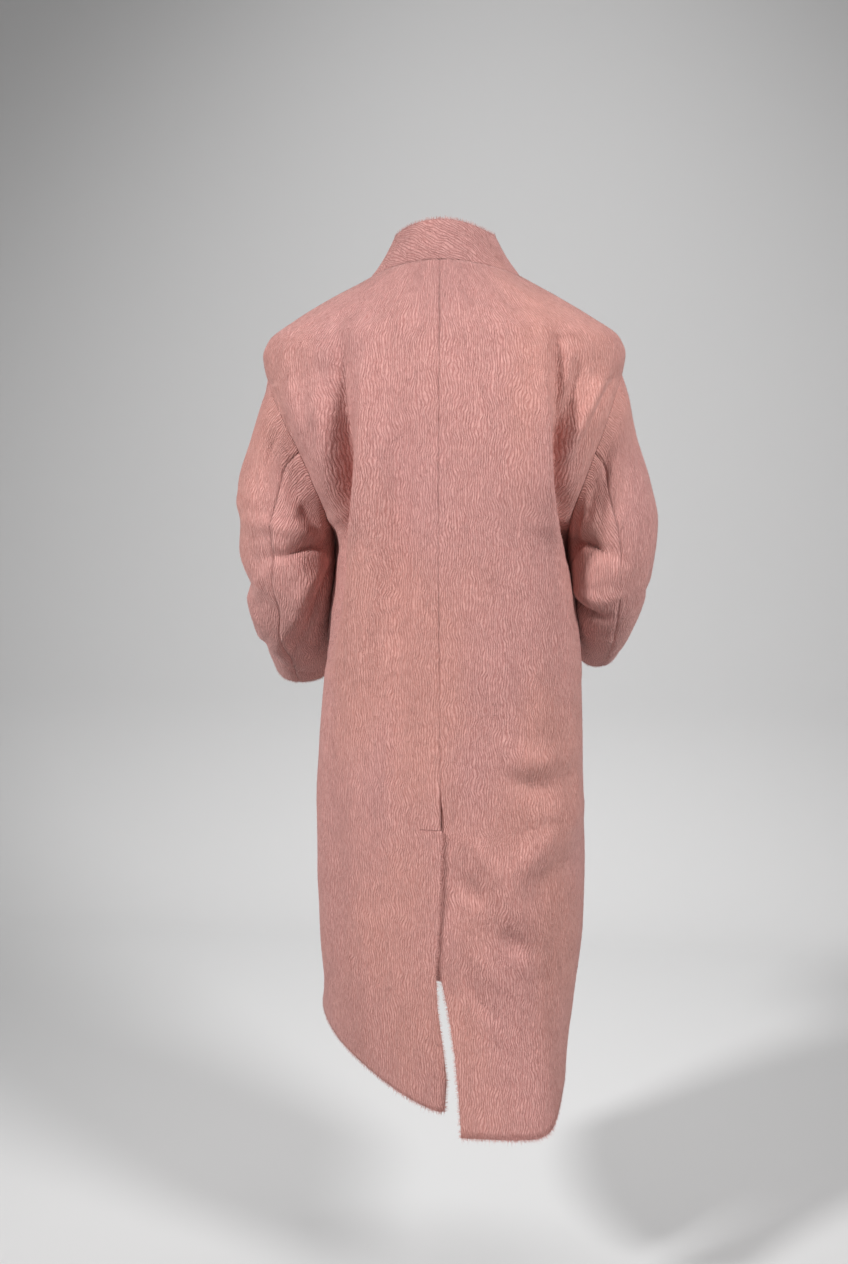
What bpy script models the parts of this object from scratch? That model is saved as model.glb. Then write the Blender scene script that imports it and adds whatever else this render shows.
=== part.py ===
"""Long double-breasted coat of thick brushed wool with a stand collar, worn and hanging from the shoulders.

Metres, +Z up, +X to the wearer's left, -Y to the wearer's front. The origin is the middle of the
shoulder line, level with the base of the neck. Each cloth piece is a closed wall of even thickness.
"""

import math

import bpy
import numpy as np

# Cloth and seams
WALL = 0.003
SEAM_GAP = 0.0003
LAP_GAP = 0.0014

# How many cells each stretch of cloth is cut into
VENT_CELLS = 8
SKIRT_CELLS = 12
ARMHOLE_CELLS = 8
SHOULDER_CELLS = 6
BACK_CELLS = 14
FRONT_CELLS = 15
COLLAR_CELLS = 4
SLEEVE_CELLS = 22

# The coat's levels, from the hem to the neck seam, one row each. The edge is the side seam, then the
# armhole, then the shoulder seam. Hind and fore are the armhole's back and front edges.
LEVEL_COLUMNS = (
    "z_edge", "x_left", "x_right", "fore_in", "y_hind", "y_fore", "turn",
    "z_back", "x_back", "y_back", "z_front", "y_front", "square", "rise",
)
LEVELS = (
    (-1.130, 0.182, 0.186, 0.000, 0.000, 0.000, 90, -1.168, -0.012, 0.186, -1.118, -0.165, 0.80, 1.2),
    (-1.045, 0.178, 0.196, 0.000, 0.000, 0.000, 90, -1.075, -0.011, 0.177, -1.040, -0.161, 0.80, 1.5),
    (-0.945, 0.182, 0.207, 0.000, 0.000, 0.000, 90, -0.965, -0.010, 0.169, -0.945, -0.157, 0.78, 2.0),
    (-0.850, 0.185, 0.208, 0.000, 0.000, 0.000, 90, -0.860, -0.010, 0.161, -0.850, -0.153, 0.76, 2.0),
    (-0.760, 0.185, 0.204, 0.000, 0.000, 0.000, 90, -0.763, -0.010, 0.156, -0.760, -0.149, 0.75, 2.0),
    (-0.670, 0.180, 0.202, 0.000, 0.000, 0.000, 90, -0.670, -0.009, 0.152, -0.670, -0.145, 0.74, 2.0),
    (-0.580, 0.172, 0.198, 0.000, 0.000, 0.000, 90, -0.575, -0.008, 0.150, -0.580, -0.141, 0.74, 2.0),
    (-0.485, 0.167, 0.187, 0.000, 0.000, 0.000, 90, -0.475, -0.007, 0.150, -0.485, -0.137, 0.74, 2.0),
    (-0.385, 0.157, 0.176, 0.000, 0.000, 0.000, 90, -0.370, -0.006, 0.151, -0.390, -0.133, 0.76, 2.0),
    (-0.340, 0.162, 0.181, 0.004, 0.048, -0.042, 78, -0.322, -0.006, 0.150, -0.350, -0.130, 0.78, 2.0),
    (-0.283, 0.181, 0.200, 0.012, 0.070, -0.058, 68, -0.262, -0.005, 0.147, -0.300, -0.125, 0.80, 2.0),
    (-0.215, 0.213, 0.225, 0.014, 0.066, -0.054, 66, -0.193, -0.005, 0.141, -0.240, -0.115, 0.84, 2.0),
    (-0.165, 0.241, 0.241, 0.006, 0.034, -0.029, 76, -0.144, -0.004, 0.132, -0.196, -0.105, 0.86, 2.0),
    (-0.146, 0.251, 0.247, 0.000, 0.000, 0.000, 90, -0.118, -0.004, 0.126, -0.171, -0.099, 0.86, 2.0),
    (-0.119, 0.255, 0.251, 0.000, 0.000, 0.000, 90, -0.098, -0.003, 0.120, -0.153, -0.094, 0.86, 2.0),
    (-0.096, 0.246, 0.242, 0.000, -0.001, -0.001, 90, -0.080, -0.003, 0.115, -0.136, -0.089, 0.86, 2.0),
    (-0.066, 0.204, 0.200, 0.000, -0.002, -0.002, 90, -0.051, -0.002, 0.104, -0.112, -0.079, 0.90, 2.0),
    (-0.036, 0.151, 0.149, 0.000, -0.003, -0.003, 90, -0.018, -0.001, 0.091, -0.087, -0.070, 0.95, 2.0),
    (-0.012, 0.104, 0.104, 0.000, -0.004, -0.004, 90, 0.012, 0.000, 0.080, -0.066, -0.066, 1.00, 2.0),
)
VENT_LEVEL = 4
ARMPIT_LEVEL = 8
ARM_TOP_LEVEL = 13
NECK_LEVEL = 18

# The stand collar, from the neck seam to its upper edge
COLLAR_LEVELS = (
    (-0.012, 0.104, 0.104, 0.000, -0.004, -0.004, 90, 0.012, 0.000, 0.080, -0.066, -0.066, 1.00, 2.0),
    (0.003, 0.092, 0.092, 0.000, -0.003, -0.003, 90, 0.028, 0.000, 0.079, -0.050, -0.067, 1.00, 2.0),
    (0.023, 0.079, 0.079, 0.000, 0.000, 0.000, 90, 0.047, 0.000, 0.076, -0.030, -0.067, 1.00, 2.0),
    (0.044, 0.068, 0.068, 0.000, 0.002, 0.002, 90, 0.065, 0.000, 0.072, -0.008, -0.065, 1.00, 2.0),
)

# The stride pushes the right back hem out and down
HEM_PUSH_BACK = 0.032
HEM_DROP = 0.022
HEM_SQUARE = 0.50
LEFT_SIDE_LIFT = 0.050
LEFT_HEM_STRAIGHT = 0.25
RIGHT_HEM_FLAT = 6.0
RIGHT_SIDE_DROP = 0.010
SWING_LEVEL = 1.75

# Edges of the back vent: x of the left piece's edge and of the right piece's edge at each level
VENT_COLUMNS = ("level", "left_edge", "right_edge")
VENT = (
    (0.0, -0.020, -0.046),
    (0.5, -0.022, -0.041),
    (1.0, -0.016, -0.034),
    (1.5, -0.008, -0.023),
    (2.0, -0.005, -0.009),
    (2.3, -0.007, 0.004),
    (2.8, -0.010, 0.020),
    (3.75, -0.012, 0.034),
    (4.0, -0.012, -0.0115),
)

# How far each front reaches past the centre line
LAP_COLUMNS = ("level", "reach")
LAP = ((0, 0.095), (9, 0.095), (14, 0.076), (18, 0.048))

# Folds of the body: path in x and z as upper, middle and lower point, width either side, depth out
BODY_FOLD_COLUMNS = (
    "face", "x_up", "z_up", "x_mid", "z_mid", "x_low", "z_low", "width_in", "width_out", "depth",
)
BODY_FOLDS = (
    ("back", 0.100, -0.140, 0.106, -0.330, 0.146, -0.560, 0.030, 0.014, 0.013),
    ("back", 0.146, -0.140, 0.133, -0.330, 0.160, -0.540, 0.015, 0.018, -0.026),
    ("back", -0.150, -0.130, -0.157, -0.330, -0.190, -0.560, 0.016, 0.030, 0.013),
    ("back", -0.186, -0.170, -0.172, -0.270, -0.184, -0.420, 0.016, 0.014, -0.016),
    ("back", -0.194, -0.732, -0.154, -0.788, -0.092, -0.842, 0.030, 0.022, 0.010),
    ("back", -0.092, -0.842, -0.118, -0.878, -0.160, -0.935, 0.024, 0.026, 0.008),
    ("back", 0.043, -0.130, 0.056, -0.370, 0.102, -0.690, 0.020, 0.020, -0.005),
    ("back", 0.060, -0.700, 0.080, -0.900, 0.085, -1.160, 0.045, 0.045, -0.006),
    ("front", 0.150, -0.270, 0.128, -0.360, 0.092, -0.420, 0.016, 0.022, -0.008),
    ("front", -0.158, -0.280, -0.135, -0.370, -0.098, -0.440, 0.022, 0.016, -0.009),
    ("front", 0.126, -0.620, 0.138, -0.850, 0.134, -1.110, 0.026, 0.030, 0.009),
    ("front", -0.132, -0.600, -0.146, -0.820, -0.150, -1.120, 0.030, 0.026, 0.010),
    ("front", -0.070, -0.650, -0.060, -0.860, -0.066, -1.110, 0.030, 0.030, -0.006),
)

# Sleeve rings from the armhole to the cuff: outermost and innermost points, the middle's y, half
# depth front to back and how far the ring leans as the arm bends forward
RING_COLUMNS = ("x_out", "z_out", "x_in", "z_in", "y_mid", "depth", "lean")
LEFT_RINGS = (
    (0.258, -0.180, 0.160, -0.396, 0.002, 0.068, 0),
    (0.274, -0.235, 0.161, -0.408, 0.008, 0.071, 0),
    (0.292, -0.300, 0.162, -0.420, 0.014, 0.070, 2),
    (0.289, -0.344, 0.163, -0.432, 0.019, 0.068, 10),
    (0.292, -0.386, 0.165, -0.446, 0.018, 0.065, 22),
    (0.279, -0.432, 0.166, -0.462, 0.004, 0.064, 34),
    (0.289, -0.472, 0.168, -0.482, -0.022, 0.062, 45),
    (0.289, -0.504, 0.169, -0.506, -0.057, 0.060, 52),
    (0.280, -0.533, 0.171, -0.532, -0.097, 0.058, 54),
    (0.282, -0.561, 0.175, -0.556, -0.136, 0.056, 54),
    (0.280, -0.586, 0.176, -0.575, -0.165, 0.054, 54),
)
RIGHT_RINGS = (
    (0.257, -0.176, 0.179, -0.396, 0.002, 0.068, 0),
    (0.268, -0.228, 0.182, -0.408, 0.008, 0.071, 0),
    (0.290, -0.292, 0.183, -0.420, 0.014, 0.070, 2),
    (0.301, -0.346, 0.185, -0.432, 0.018, 0.068, 10),
    (0.297, -0.395, 0.187, -0.446, 0.014, 0.065, 24),
    (0.292, -0.430, 0.189, -0.459, -0.002, 0.064, 38),
    (0.284, -0.461, 0.189, -0.476, -0.030, 0.063, 50),
    (0.276, -0.487, 0.189, -0.495, -0.066, 0.061, 56),
    (0.269, -0.510, 0.188, -0.514, -0.106, 0.058, 58),
    (0.262, -0.530, 0.185, -0.532, -0.144, 0.056, 58),
    (0.257, -0.545, 0.183, -0.547, -0.174, 0.054, 58),
)
HIND_SEAM_PART = 0.50
FORE_SEAM_PART = 0.63

# Folds of the sleeves: start and end as turn round the sleeve in degrees, 90 at the back, and ring
SLEEVE_FOLD_COLUMNS = ("turn_a", "ring_a", "turn_mid", "ring_mid", "turn_b", "ring_b", "width", "depth")
LEFT_SLEEVE_FOLDS = (
    (165, 1.0, 90, 3.9, -35, 5.1, 0.013, -0.013),
    (170, 5.6, 120, 7.2, 70, 8.6, 0.012, -0.008),
    (60, 2.6, 20, 3.4, -20, 3.8, 0.016, 0.004),
)
RIGHT_SLEEVE_FOLDS = (
    (165, 2.5, 100, 4.4, 10, 5.4, 0.013, -0.010),
    (165, 5.4, 110, 6.6, 40, 7.0, 0.012, -0.009),
    (150, 7.2, 110, 8.0, 60, 8.8, 0.012, -0.007),
)

# Buttons: two upright rows of three on the outer front
BUTTON_RADIUS = 0.014
BUTTON_THICK = 0.0045
BUTTON_SEGMENTS = 20
BUTTON_ROW_X = 0.068
BUTTON_ROW_Z = (-0.295, -0.435, -0.575)

# The right shoulder is carried higher: rise for each metre across, fading out below
SHOULDER_TILT = 0.013
TILT_FROM_Z = -0.36
TILT_FULL_Z = -0.12

COAT_COLOUR = (0.56, 0.27, 0.26, 1.0)
BUTTON_COLOUR = (0.20, 0.09, 0.09, 1.0)


def as_columns(names, rows):
    """A table as one array for each named column."""
    return {name: np.array([row[place] for row in rows]) for place, name in enumerate(names)}


def smooth_through(knots, values, at):
    """Cubic curve through the values at the knots, with no overshoot between them."""
    knots = np.asarray(knots, float)
    values = np.asarray(values, float)
    extra = (1,) * (values.ndim - 1)
    steps = np.diff(knots).reshape((-1,) + extra)
    slopes = np.diff(values, axis=0) / steps
    tangents = np.zeros_like(values)
    tangents[0] = slopes[0]
    tangents[-1] = slopes[-1]
    before = slopes[:-1]
    after = slopes[1:]
    same_way = before * after > 0
    total = np.where(same_way, before + after, 1.0)
    tangents[1:-1] = np.where(same_way, 2 * before * after / total, 0.0)
    at = np.asarray(at, float)
    cell = np.clip(np.searchsorted(knots, at, side="right") - 1, 0, len(knots) - 2)
    width = (knots[cell + 1] - knots[cell]).reshape((-1,) + extra)
    part = np.clip((at - knots[cell]) / (knots[cell + 1] - knots[cell]), 0, 1).reshape((-1,) + extra)
    one = 1 - part
    return (
        values[cell] * (1 + 2 * part) * one**2
        + tangents[cell] * width * part * one**2
        + values[cell + 1] * part**2 * (3 - 2 * part)
        - tangents[cell + 1] * width * part**2 * one
    )


def ramp(value, low, high):
    """0 below low, 1 above high and smooth between."""
    part = np.clip((value - low) / (high - low), 0, 1)
    return part * part * (3 - 2 * part)


def tilted(points):
    """The points with the shoulders' tilt."""
    moved = points.copy()
    moved[..., 2] -= SHOULDER_TILT * points[..., 0] * ramp(points[..., 2], TILT_FROM_Z, TILT_FULL_Z)
    return moved


def unit(vectors):
    """The vectors at length one."""
    return vectors / np.maximum(np.linalg.norm(vectors, axis=-1, keepdims=True), 1e-12)


def levels_at(rows, levels):
    """Every column of a level table at the given levels."""
    columns = as_columns(LEVEL_COLUMNS, rows)
    return {name: smooth_through(np.arange(len(rows)), column, levels) for name, column in columns.items()}


def swing(levels):
    """How much of the stride's push each level takes."""
    return np.clip((SWING_LEVEL - levels) / SWING_LEVEL, 0, 1) ** 1.3


def side_lift(side):
    """How far the stride lifts the side of the hem, left or right."""
    return LEFT_SIDE_LIFT if side > 0 else -RIGHT_SIDE_DROP


def outline(rings, levels, face, side, parts):
    """Outline of one face at each level: part 0 at its centre, 1 at its edge, below 0 past the centre."""
    edge = {1: rings["x_left"], -1: rings["x_right"]}
    narrow = rings["fore_in"] if face == "front" else 0.0
    own = (edge[side] - narrow)[:, None]
    other = (edge[-side] - narrow)[:, None]
    pushed = swing(levels) if face == "back" and side < 0 else np.zeros(len(levels))
    turn = np.radians(rings["turn"])[:, None]
    power = (rings["square"] - HEM_SQUARE * pushed)[:, None]
    if face == "back" and side > 0:
        power = power + LEFT_HEM_STRAIGHT * swing(levels)[:, None]
    angle = turn * np.abs(parts)[None, :]
    across = (np.sin(angle) / np.sin(turn)) ** power
    along = np.clip((np.cos(angle) - np.cos(turn)) / (1 - np.cos(turn)), 0, 1) ** power
    lift = (np.sin(angle) / np.sin(turn)) ** (rings["rise"] + RIGHT_HEM_FLAT * pushed)[:, None]
    y_edge = rings["y_hind" if face == "back" else "y_fore"][:, None]
    x_centre = rings["x_back"][:, None] if face == "back" else 0.0
    y_centre = (rings["y_" + face] + HEM_PUSH_BACK * pushed)[:, None]
    z_centre = (rings["z_" + face] - HEM_DROP * pushed)[:, None]
    x = np.where(parts[None, :] < 0, -side * other * across, side * own * across)
    x = x + x_centre * (1 - across)
    y = y_edge + (y_centre - y_edge) * along
    own_z = (rings["z_edge"] + side_lift(side) * swing(levels))[:, None]
    other_z = (rings["z_edge"] + side_lift(-side) * swing(levels))[:, None]
    z = z_centre + (np.where(parts[None, :] < 0, other_z, own_z) - z_centre) * lift
    return np.stack([x, y, z], axis=-1)


def first_edge(levels, face, side):
    """x of the piece's edge at the centre: the seam or vent at the back, the lap at the front."""
    if face == "front":
        lap = as_columns(LAP_COLUMNS, LAP)
        return -side * smooth_through(lap["level"], lap["reach"], levels)
    vent = as_columns(VENT_COLUMNS, VENT)
    seam = levels_at(LEVELS, levels)["x_back"]
    free = np.interp(levels, vent["level"], vent["left_edge" if side > 0 else "right_edge"])
    return np.where(levels < VENT_LEVEL - 1e-6, free, seam)


def flat_points(rows, levels, cut_levels, face, side, cells):
    """Grid of points on the bare form: one row for each level, one column from centre edge to side."""
    rings = levels_at(rows, levels)
    parts = np.linspace(-1, 1, 1201)
    parts = 0.999999 * np.sign(parts) * np.abs(parts) ** 1.5
    parts[-1] = 1.0
    dense = outline(rings, cut_levels, face, side, parts)
    start_x = first_edge(cut_levels, face, side)
    share = np.linspace(0, 1, cells + 1)
    grid = np.empty((len(levels), cells + 1, 3))
    for row, curve in enumerate(dense):
        run = np.concatenate([[0], np.cumsum(np.linalg.norm(np.diff(curve, axis=0), axis=1))])
        start = np.interp(side * start_x[row], side * curve[:, 0], run)
        at = start + (run[-1] - start) * share
        grid[row] = np.stack([np.interp(at, run, curve[:, axis]) for axis in range(3)], axis=-1)
    return grid


def normals_of(grid, outward):
    """Normals of a grid, on the side that outward points to at most points."""
    along = np.gradient(grid, axis=0)
    across = np.gradient(grid, axis=1)
    found = unit(np.cross(across, along))
    return found if np.sum(found * outward) > 0 else -found


def fold_height(points, fold):
    """Height of one fold at each point, from its distance to the fold's path in x and z."""
    share = np.linspace(0, 1, 41)[:, None]
    up = np.array([fold["x_up"], fold["z_up"]])
    mid = np.array([fold["x_mid"], fold["z_mid"]])
    low = np.array([fold["x_low"], fold["z_low"]])
    pull = 2 * mid - (up + low) / 2
    path = (1 - share) ** 2 * up + 2 * share * (1 - share) * pull + share**2 * low
    place = points[..., [0, 2]]
    apart = place[..., None, :] - path
    distance = np.linalg.norm(apart, axis=-1)
    nearest = np.argmin(distance, axis=-1)
    close = np.take_along_axis(distance, nearest[..., None], -1)[..., 0]
    aside = np.take_along_axis(apart[..., 0], nearest[..., None], -1)[..., 0]
    width = np.where(aside < 0, fold["width_in"], fold["width_out"])
    taper = np.sin(np.pi * np.clip(share[nearest, 0] * 0.88 + 0.06, 0, 1)) ** 0.9
    return fold["depth"] * taper * np.exp(-((close / width) ** 2))


def body_heights(points, levels, face, side):
    """How far each point stands out of the bare form: folds, less the tuck of an under layer."""
    heights = np.zeros(points.shape[:2])
    for row in BODY_FOLDS:
        fold = dict(zip(BODY_FOLD_COLUMNS, row))
        if fold["face"] == face:
            heights += fold_height(points, fold)
    share = np.linspace(0, 1, points.shape[1])[None, :]
    heights *= ramp(1 - share, 0.0, 0.10)
    tuck = np.zeros_like(heights)
    level = levels[:, None]
    if face == "front" and side > 0:
        reach = -first_edge(levels, "front", 1)[:, None]
        clear = np.minimum(reach + 0.040, 0.90 * points[:, -1:, 0])
        tuck = 1 - ramp(points[..., 0], reach + 0.006, clear)
    if face == "back" and side < 0:
        beside = ramp(points[..., 0], -0.055, -0.022)
        tuck = beside * (1 - ramp(level, VENT_LEVEL + 0.05, VENT_LEVEL + 0.7)) * ramp(level, 0.9, 1.55)
    return heights - tuck * (WALL + LAP_GAP)


def lean(normal, own):
    """The through-thickness direction that both pieces of a seam share, long enough for an even wall."""
    facing = np.maximum(np.sum(normal * own, axis=-1, keepdims=True), 0.62)
    return normal / facing


def pull_in(outer, inner, normals):
    """Draws the four edges of a piece in by half the seam gap."""
    shift = np.zeros_like(outer)
    edges = (np.s_[0], np.s_[-1], np.s_[:, 0], np.s_[:, -1])
    besides = (np.s_[1], np.s_[-2], np.s_[:, 1], np.s_[:, -2])
    for edge, beside in zip(edges, besides):
        tangent = unit(np.gradient(outer[edge], axis=0))
        inward = unit(np.cross(normals[edge], tangent))
        sign = np.sign(np.sum(inward * (outer[beside] - outer[edge])))
        shift[edge] += inward * sign * SEAM_GAP * 0.55
    return outer + shift, inner + shift


def shell(name, outer, through, normals, colour):
    """A closed wall between an outer grid and the same grid moved through the cloth."""
    outer, inner = pull_in(outer, outer - WALL * through, normals)
    rows, columns = outer.shape[:2]
    index = np.arange(rows * columns).reshape(rows, columns)
    faces = []
    a, b, c, d = index[:-1, :-1], index[:-1, 1:], index[1:, 1:], index[1:, :-1]
    front = np.stack([a, b, c, d], axis=-1).reshape(-1, 4)
    side = np.cross(outer[0, 1] - outer[0, 0], outer[1, 0] - outer[0, 0])
    if np.dot(side, normals[0, 0]) < 0:
        front = front[:, ::-1]
    count = rows * columns
    faces.extend(front.tolist())
    faces.extend((front[:, ::-1] + count).tolist())
    border = np.concatenate([index[0, :-1], index[:-1, -1], index[-1, :0:-1], index[:0:-1, 0]])
    turned = np.dot(side, normals[0, 0]) < 0
    order = outer.reshape(-1, 3) @ np.array([0.37, 0.21, 1.0])
    for here, there in zip(border.tolist(), np.roll(border, -1).tolist()):
        if order[here] < order[there]:
            strip = [[there, here, there + count], [here, here + count, there + count]]
        else:
            strip = [[there, here, here + count], [there, here + count, there + count]]
        faces.extend([corner[::-1] for corner in strip] if turned else strip)
    points = tilted(np.concatenate([outer.reshape(-1, 3), inner.reshape(-1, 3)]))
    return add_mesh(name, points, faces, colour, 0.95)


def add_mesh(name, points, faces, colour, roughness):
    """A named object with its own material."""
    mesh = bpy.data.meshes.new(name)
    mesh.from_pydata([tuple(point) for point in points], [], faces)
    mesh.validate()
    mesh.shade_smooth()
    material = bpy.data.materials.new(name)
    material.use_nodes = True
    surface = material.node_tree.nodes["Principled BSDF"]
    surface.inputs["Base Color"].default_value = colour
    surface.inputs["Roughness"].default_value = roughness
    surface.inputs["Metallic"].default_value = 0.0
    mesh.materials.append(material)
    built = bpy.data.objects.new(name, mesh)
    bpy.context.scene.collection.objects.link(built)
    return built


def average(*groups):
    """Unit mean of several sets of normals."""
    return unit(sum(groups))


def seam_directions(first, second, onward):
    """Directions through two pieces at their seam: mitred on a ridge, square to each in a valley."""
    shared = average(first, second)
    valley = np.sum(first * onward, axis=-1, keepdims=True) > 0.0
    return np.where(valley, first, shared), np.where(valley, second, shared)


def body_pieces(levels):
    """Outer points and normals of the four body pieces, with shared normals along their seams."""
    pieces = {}
    for face, cells in (("back", BACK_CELLS), ("front", FRONT_CELLS)):
        for side in (1, -1):
            bare = flat_points(LEVELS, levels, levels, face, side, cells)
            outward = bare * np.array([1, 1, 0]) + np.array([0, 0, 0.02])
            pieces[face, side] = {"bare": bare, "normals": normals_of(bare, outward), "outward": outward}
    seamed = (levels <= ARMPIT_LEVEL + 1e-6) | (levels >= ARM_TOP_LEVEL - 1e-6)
    closed = levels >= VENT_LEVEL - 1e-6
    share_normals(pieces, seamed, closed)
    for (face, side), piece in pieces.items():
        piece["bare_normals"] = piece["normals"]
        heights = body_heights(piece["bare"], levels, face, side)
        piece["points"] = piece["bare"] + piece["normals"] * heights[..., None]
        piece["normals"] = normals_of(piece["points"], piece["outward"])
        piece["own"] = piece["normals"].copy()
    share_normals(pieces, seamed, closed)
    for side in (1, -1):
        pieces["back", side]["normals"][closed, 0] = pieces["back", side]["bare_normals"][closed, 0]
    return pieces


def share_normals(pieces, seamed, closed):
    """Gives both pieces of each body seam the same normals."""
    for side in (1, -1):
        back = pieces["back", side]["normals"]
        front = pieces["front", side]["normals"]
        shared = average(back[seamed, -1], front[seamed, -1])
        back[seamed, -1] = shared
        front[seamed, -1] = shared
    left = pieces["back", 1]["normals"]
    right = pieces["back", -1]["normals"]
    shared = average(left[closed, 0], right[closed, 0])
    left[closed, 0] = shared
    right[closed, 0] = shared


def armhole_loop(pieces, levels, side):
    """Armhole edge from its top down the back to the armpit and up the front, as points and normals."""
    inside = (levels >= ARMPIT_LEVEL - 1e-6) & (levels <= ARM_TOP_LEVEL + 1e-6)
    back = pieces["back", side]
    front = pieces["front", side]
    down = back["points"][inside, -1][::-1]
    up = front["points"][inside, -1][1:]
    down_normals = back["normals"][inside, -1][::-1]
    up_normals = front["normals"][inside, -1][1:]
    return np.concatenate([down, up]), np.concatenate([down_normals, up_normals])


def sleeve_points(loop, rings, side, cells):
    """Grid of the bare sleeve: one row for each ring from armhole to cuff, columns round the sleeve."""
    table = as_columns(RING_COLUMNS, rings)
    run = np.concatenate([[0], np.cumsum(np.linalg.norm(np.diff(loop, axis=0), axis=1))])
    half = (len(loop) - 1) // 2
    turn = np.concatenate([
        np.pi * run[:half] / run[half],
        np.pi + np.pi * (run[half:] - run[half]) / (run[-1] - run[half]),
    ])
    knots = [loop]
    for place in range(len(rings)):
        ring = {name: column[place] for name, column in table.items()}
        tip = np.array([side * ring["x_out"], ring["y_mid"], ring["z_out"]])
        base = np.array([side * ring["x_in"], ring["y_mid"], ring["z_in"]])
        tilt = math.radians(ring["lean"])
        hind = np.array([0.0, math.cos(tilt), -math.sin(tilt)]) * ring["depth"]
        across = np.sign(np.cos(turn)) * np.abs(np.cos(turn)) ** 0.9
        behind = np.sign(np.sin(turn)) * np.abs(np.sin(turn)) ** 0.9
        knots.append((tip + base) / 2 + (tip - base) / 2 * across[:, None] + hind * behind[:, None])
    at = np.linspace(0, len(rings), cells + 1)
    return smooth_through(np.arange(len(knots)), np.stack(knots), at), turn, at


def sleeve_fold_heights(grid, turn, at, folds):
    """Heights of the sleeve's folds at each point of its grid, by distance from each fold's path."""
    heights = np.zeros(grid.shape[:2])
    degrees = np.degrees(turn)
    share = np.linspace(0, 1, 33)
    for row in folds:
        fold = dict(zip(SLEEVE_FOLD_COLUMNS, row))
        path_turn = bend(fold["turn_a"], fold["turn_mid"], fold["turn_b"], share) % 360
        path_ring = bend(fold["ring_a"], fold["ring_mid"], fold["ring_b"], share)
        column = np.interp(path_turn, degrees, np.arange(len(degrees)))
        line = np.interp(path_ring, at, np.arange(len(at)))
        path = grid_lookup(grid, line, column)
        distance = np.linalg.norm(grid[:, :, None, :] - path, axis=-1)
        nearest = np.argmin(distance, axis=-1)
        taper = np.sin(np.pi * np.clip(share[nearest] * 0.86 + 0.07, 0, 1)) ** 0.7
        heights += fold["depth"] * taper * np.exp(-((distance.min(axis=-1) / fold["width"]) ** 2))
    return heights * ramp(at, 0.0, 1.2)[:, None]


def bend(start, middle, end, share):
    """Curve through three values."""
    pull = 2 * middle - (start + end) / 2
    return (1 - share) ** 2 * start + 2 * share * (1 - share) * pull + share**2 * end


def grid_lookup(grid, line, column):
    """Points of a grid at fractional rows and columns."""
    top = np.clip(line.astype(int), 0, grid.shape[0] - 2)
    left = np.clip(column.astype(int), 0, grid.shape[1] - 2)
    down = (line - top)[:, None]
    over = (column - left)[:, None]
    upper = grid[top, left] * (1 - over) + grid[top, left + 1] * over
    lower = grid[top + 1, left] * (1 - over) + grid[top + 1, left + 1] * over
    return upper * (1 - down) + lower * down


def wrapped_normals(grid, outward):
    """Normals of a grid that closes on itself across its columns."""
    ring = np.concatenate([grid[:, -2:-1], grid, grid[:, 1:2]], axis=1)
    wide = np.concatenate([outward[:, -2:-1], outward, outward[:, 1:2]], axis=1)
    return normals_of(ring, wide)[:, 1:-1]


def sleeve(pieces, levels, side, rings, folds):
    """The two-piece sleeve, set into the armhole. It gives the armhole's edges their shared normals."""
    loop, loop_normals = armhole_loop(pieces, levels, side)
    grid, turn, at = sleeve_points(loop, rings, side, SLEEVE_CELLS)
    outward = grid - grid[:, :-1].mean(axis=1, keepdims=True)
    normals = wrapped_normals(grid, outward)
    heights = sleeve_fold_heights(grid, turn, at, folds)
    grid = grid + normals * heights[..., None]
    normals = wrapped_normals(grid, outward)
    own = normals.copy()
    body_side, sleeve_side = seam_directions(loop_normals, normals[0], unit(grid[1] - grid[0]))
    normals[0] = sleeve_side
    inside = np.flatnonzero((levels >= ARMPIT_LEVEL - 1e-6) & (levels <= ARM_TOP_LEVEL + 1e-6))
    pieces["back", side]["normals"][inside[::-1], -1] = body_side[: len(inside)]
    pieces["front", side]["normals"][inside, -1] = body_side[len(inside) - 1:]
    hind = round(HIND_SEAM_PART * ARMHOLE_CELLS)
    fore = 2 * ARMHOLE_CELLS - round(FORE_SEAM_PART * ARMHOLE_CELLS)
    wrap = np.arange(2 * ARMHOLE_CELLS + 1)
    under = wrap[hind:fore + 1]
    upper = np.concatenate([wrap[fore:], wrap[1:hind + 1]])
    word = "left" if side > 0 else "right"
    for name, keep in (("top_sleeve_", upper), ("under_sleeve_", under)):
        through = lean(normals[:, keep], own[:, keep])
        shell(name + word, grid[:, keep], through, own[:, keep], COAT_COLOUR)


NECK_ORDER = (("front", 1, False), ("back", 1, True), ("back", -1, False), ("front", -1, True))


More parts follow.
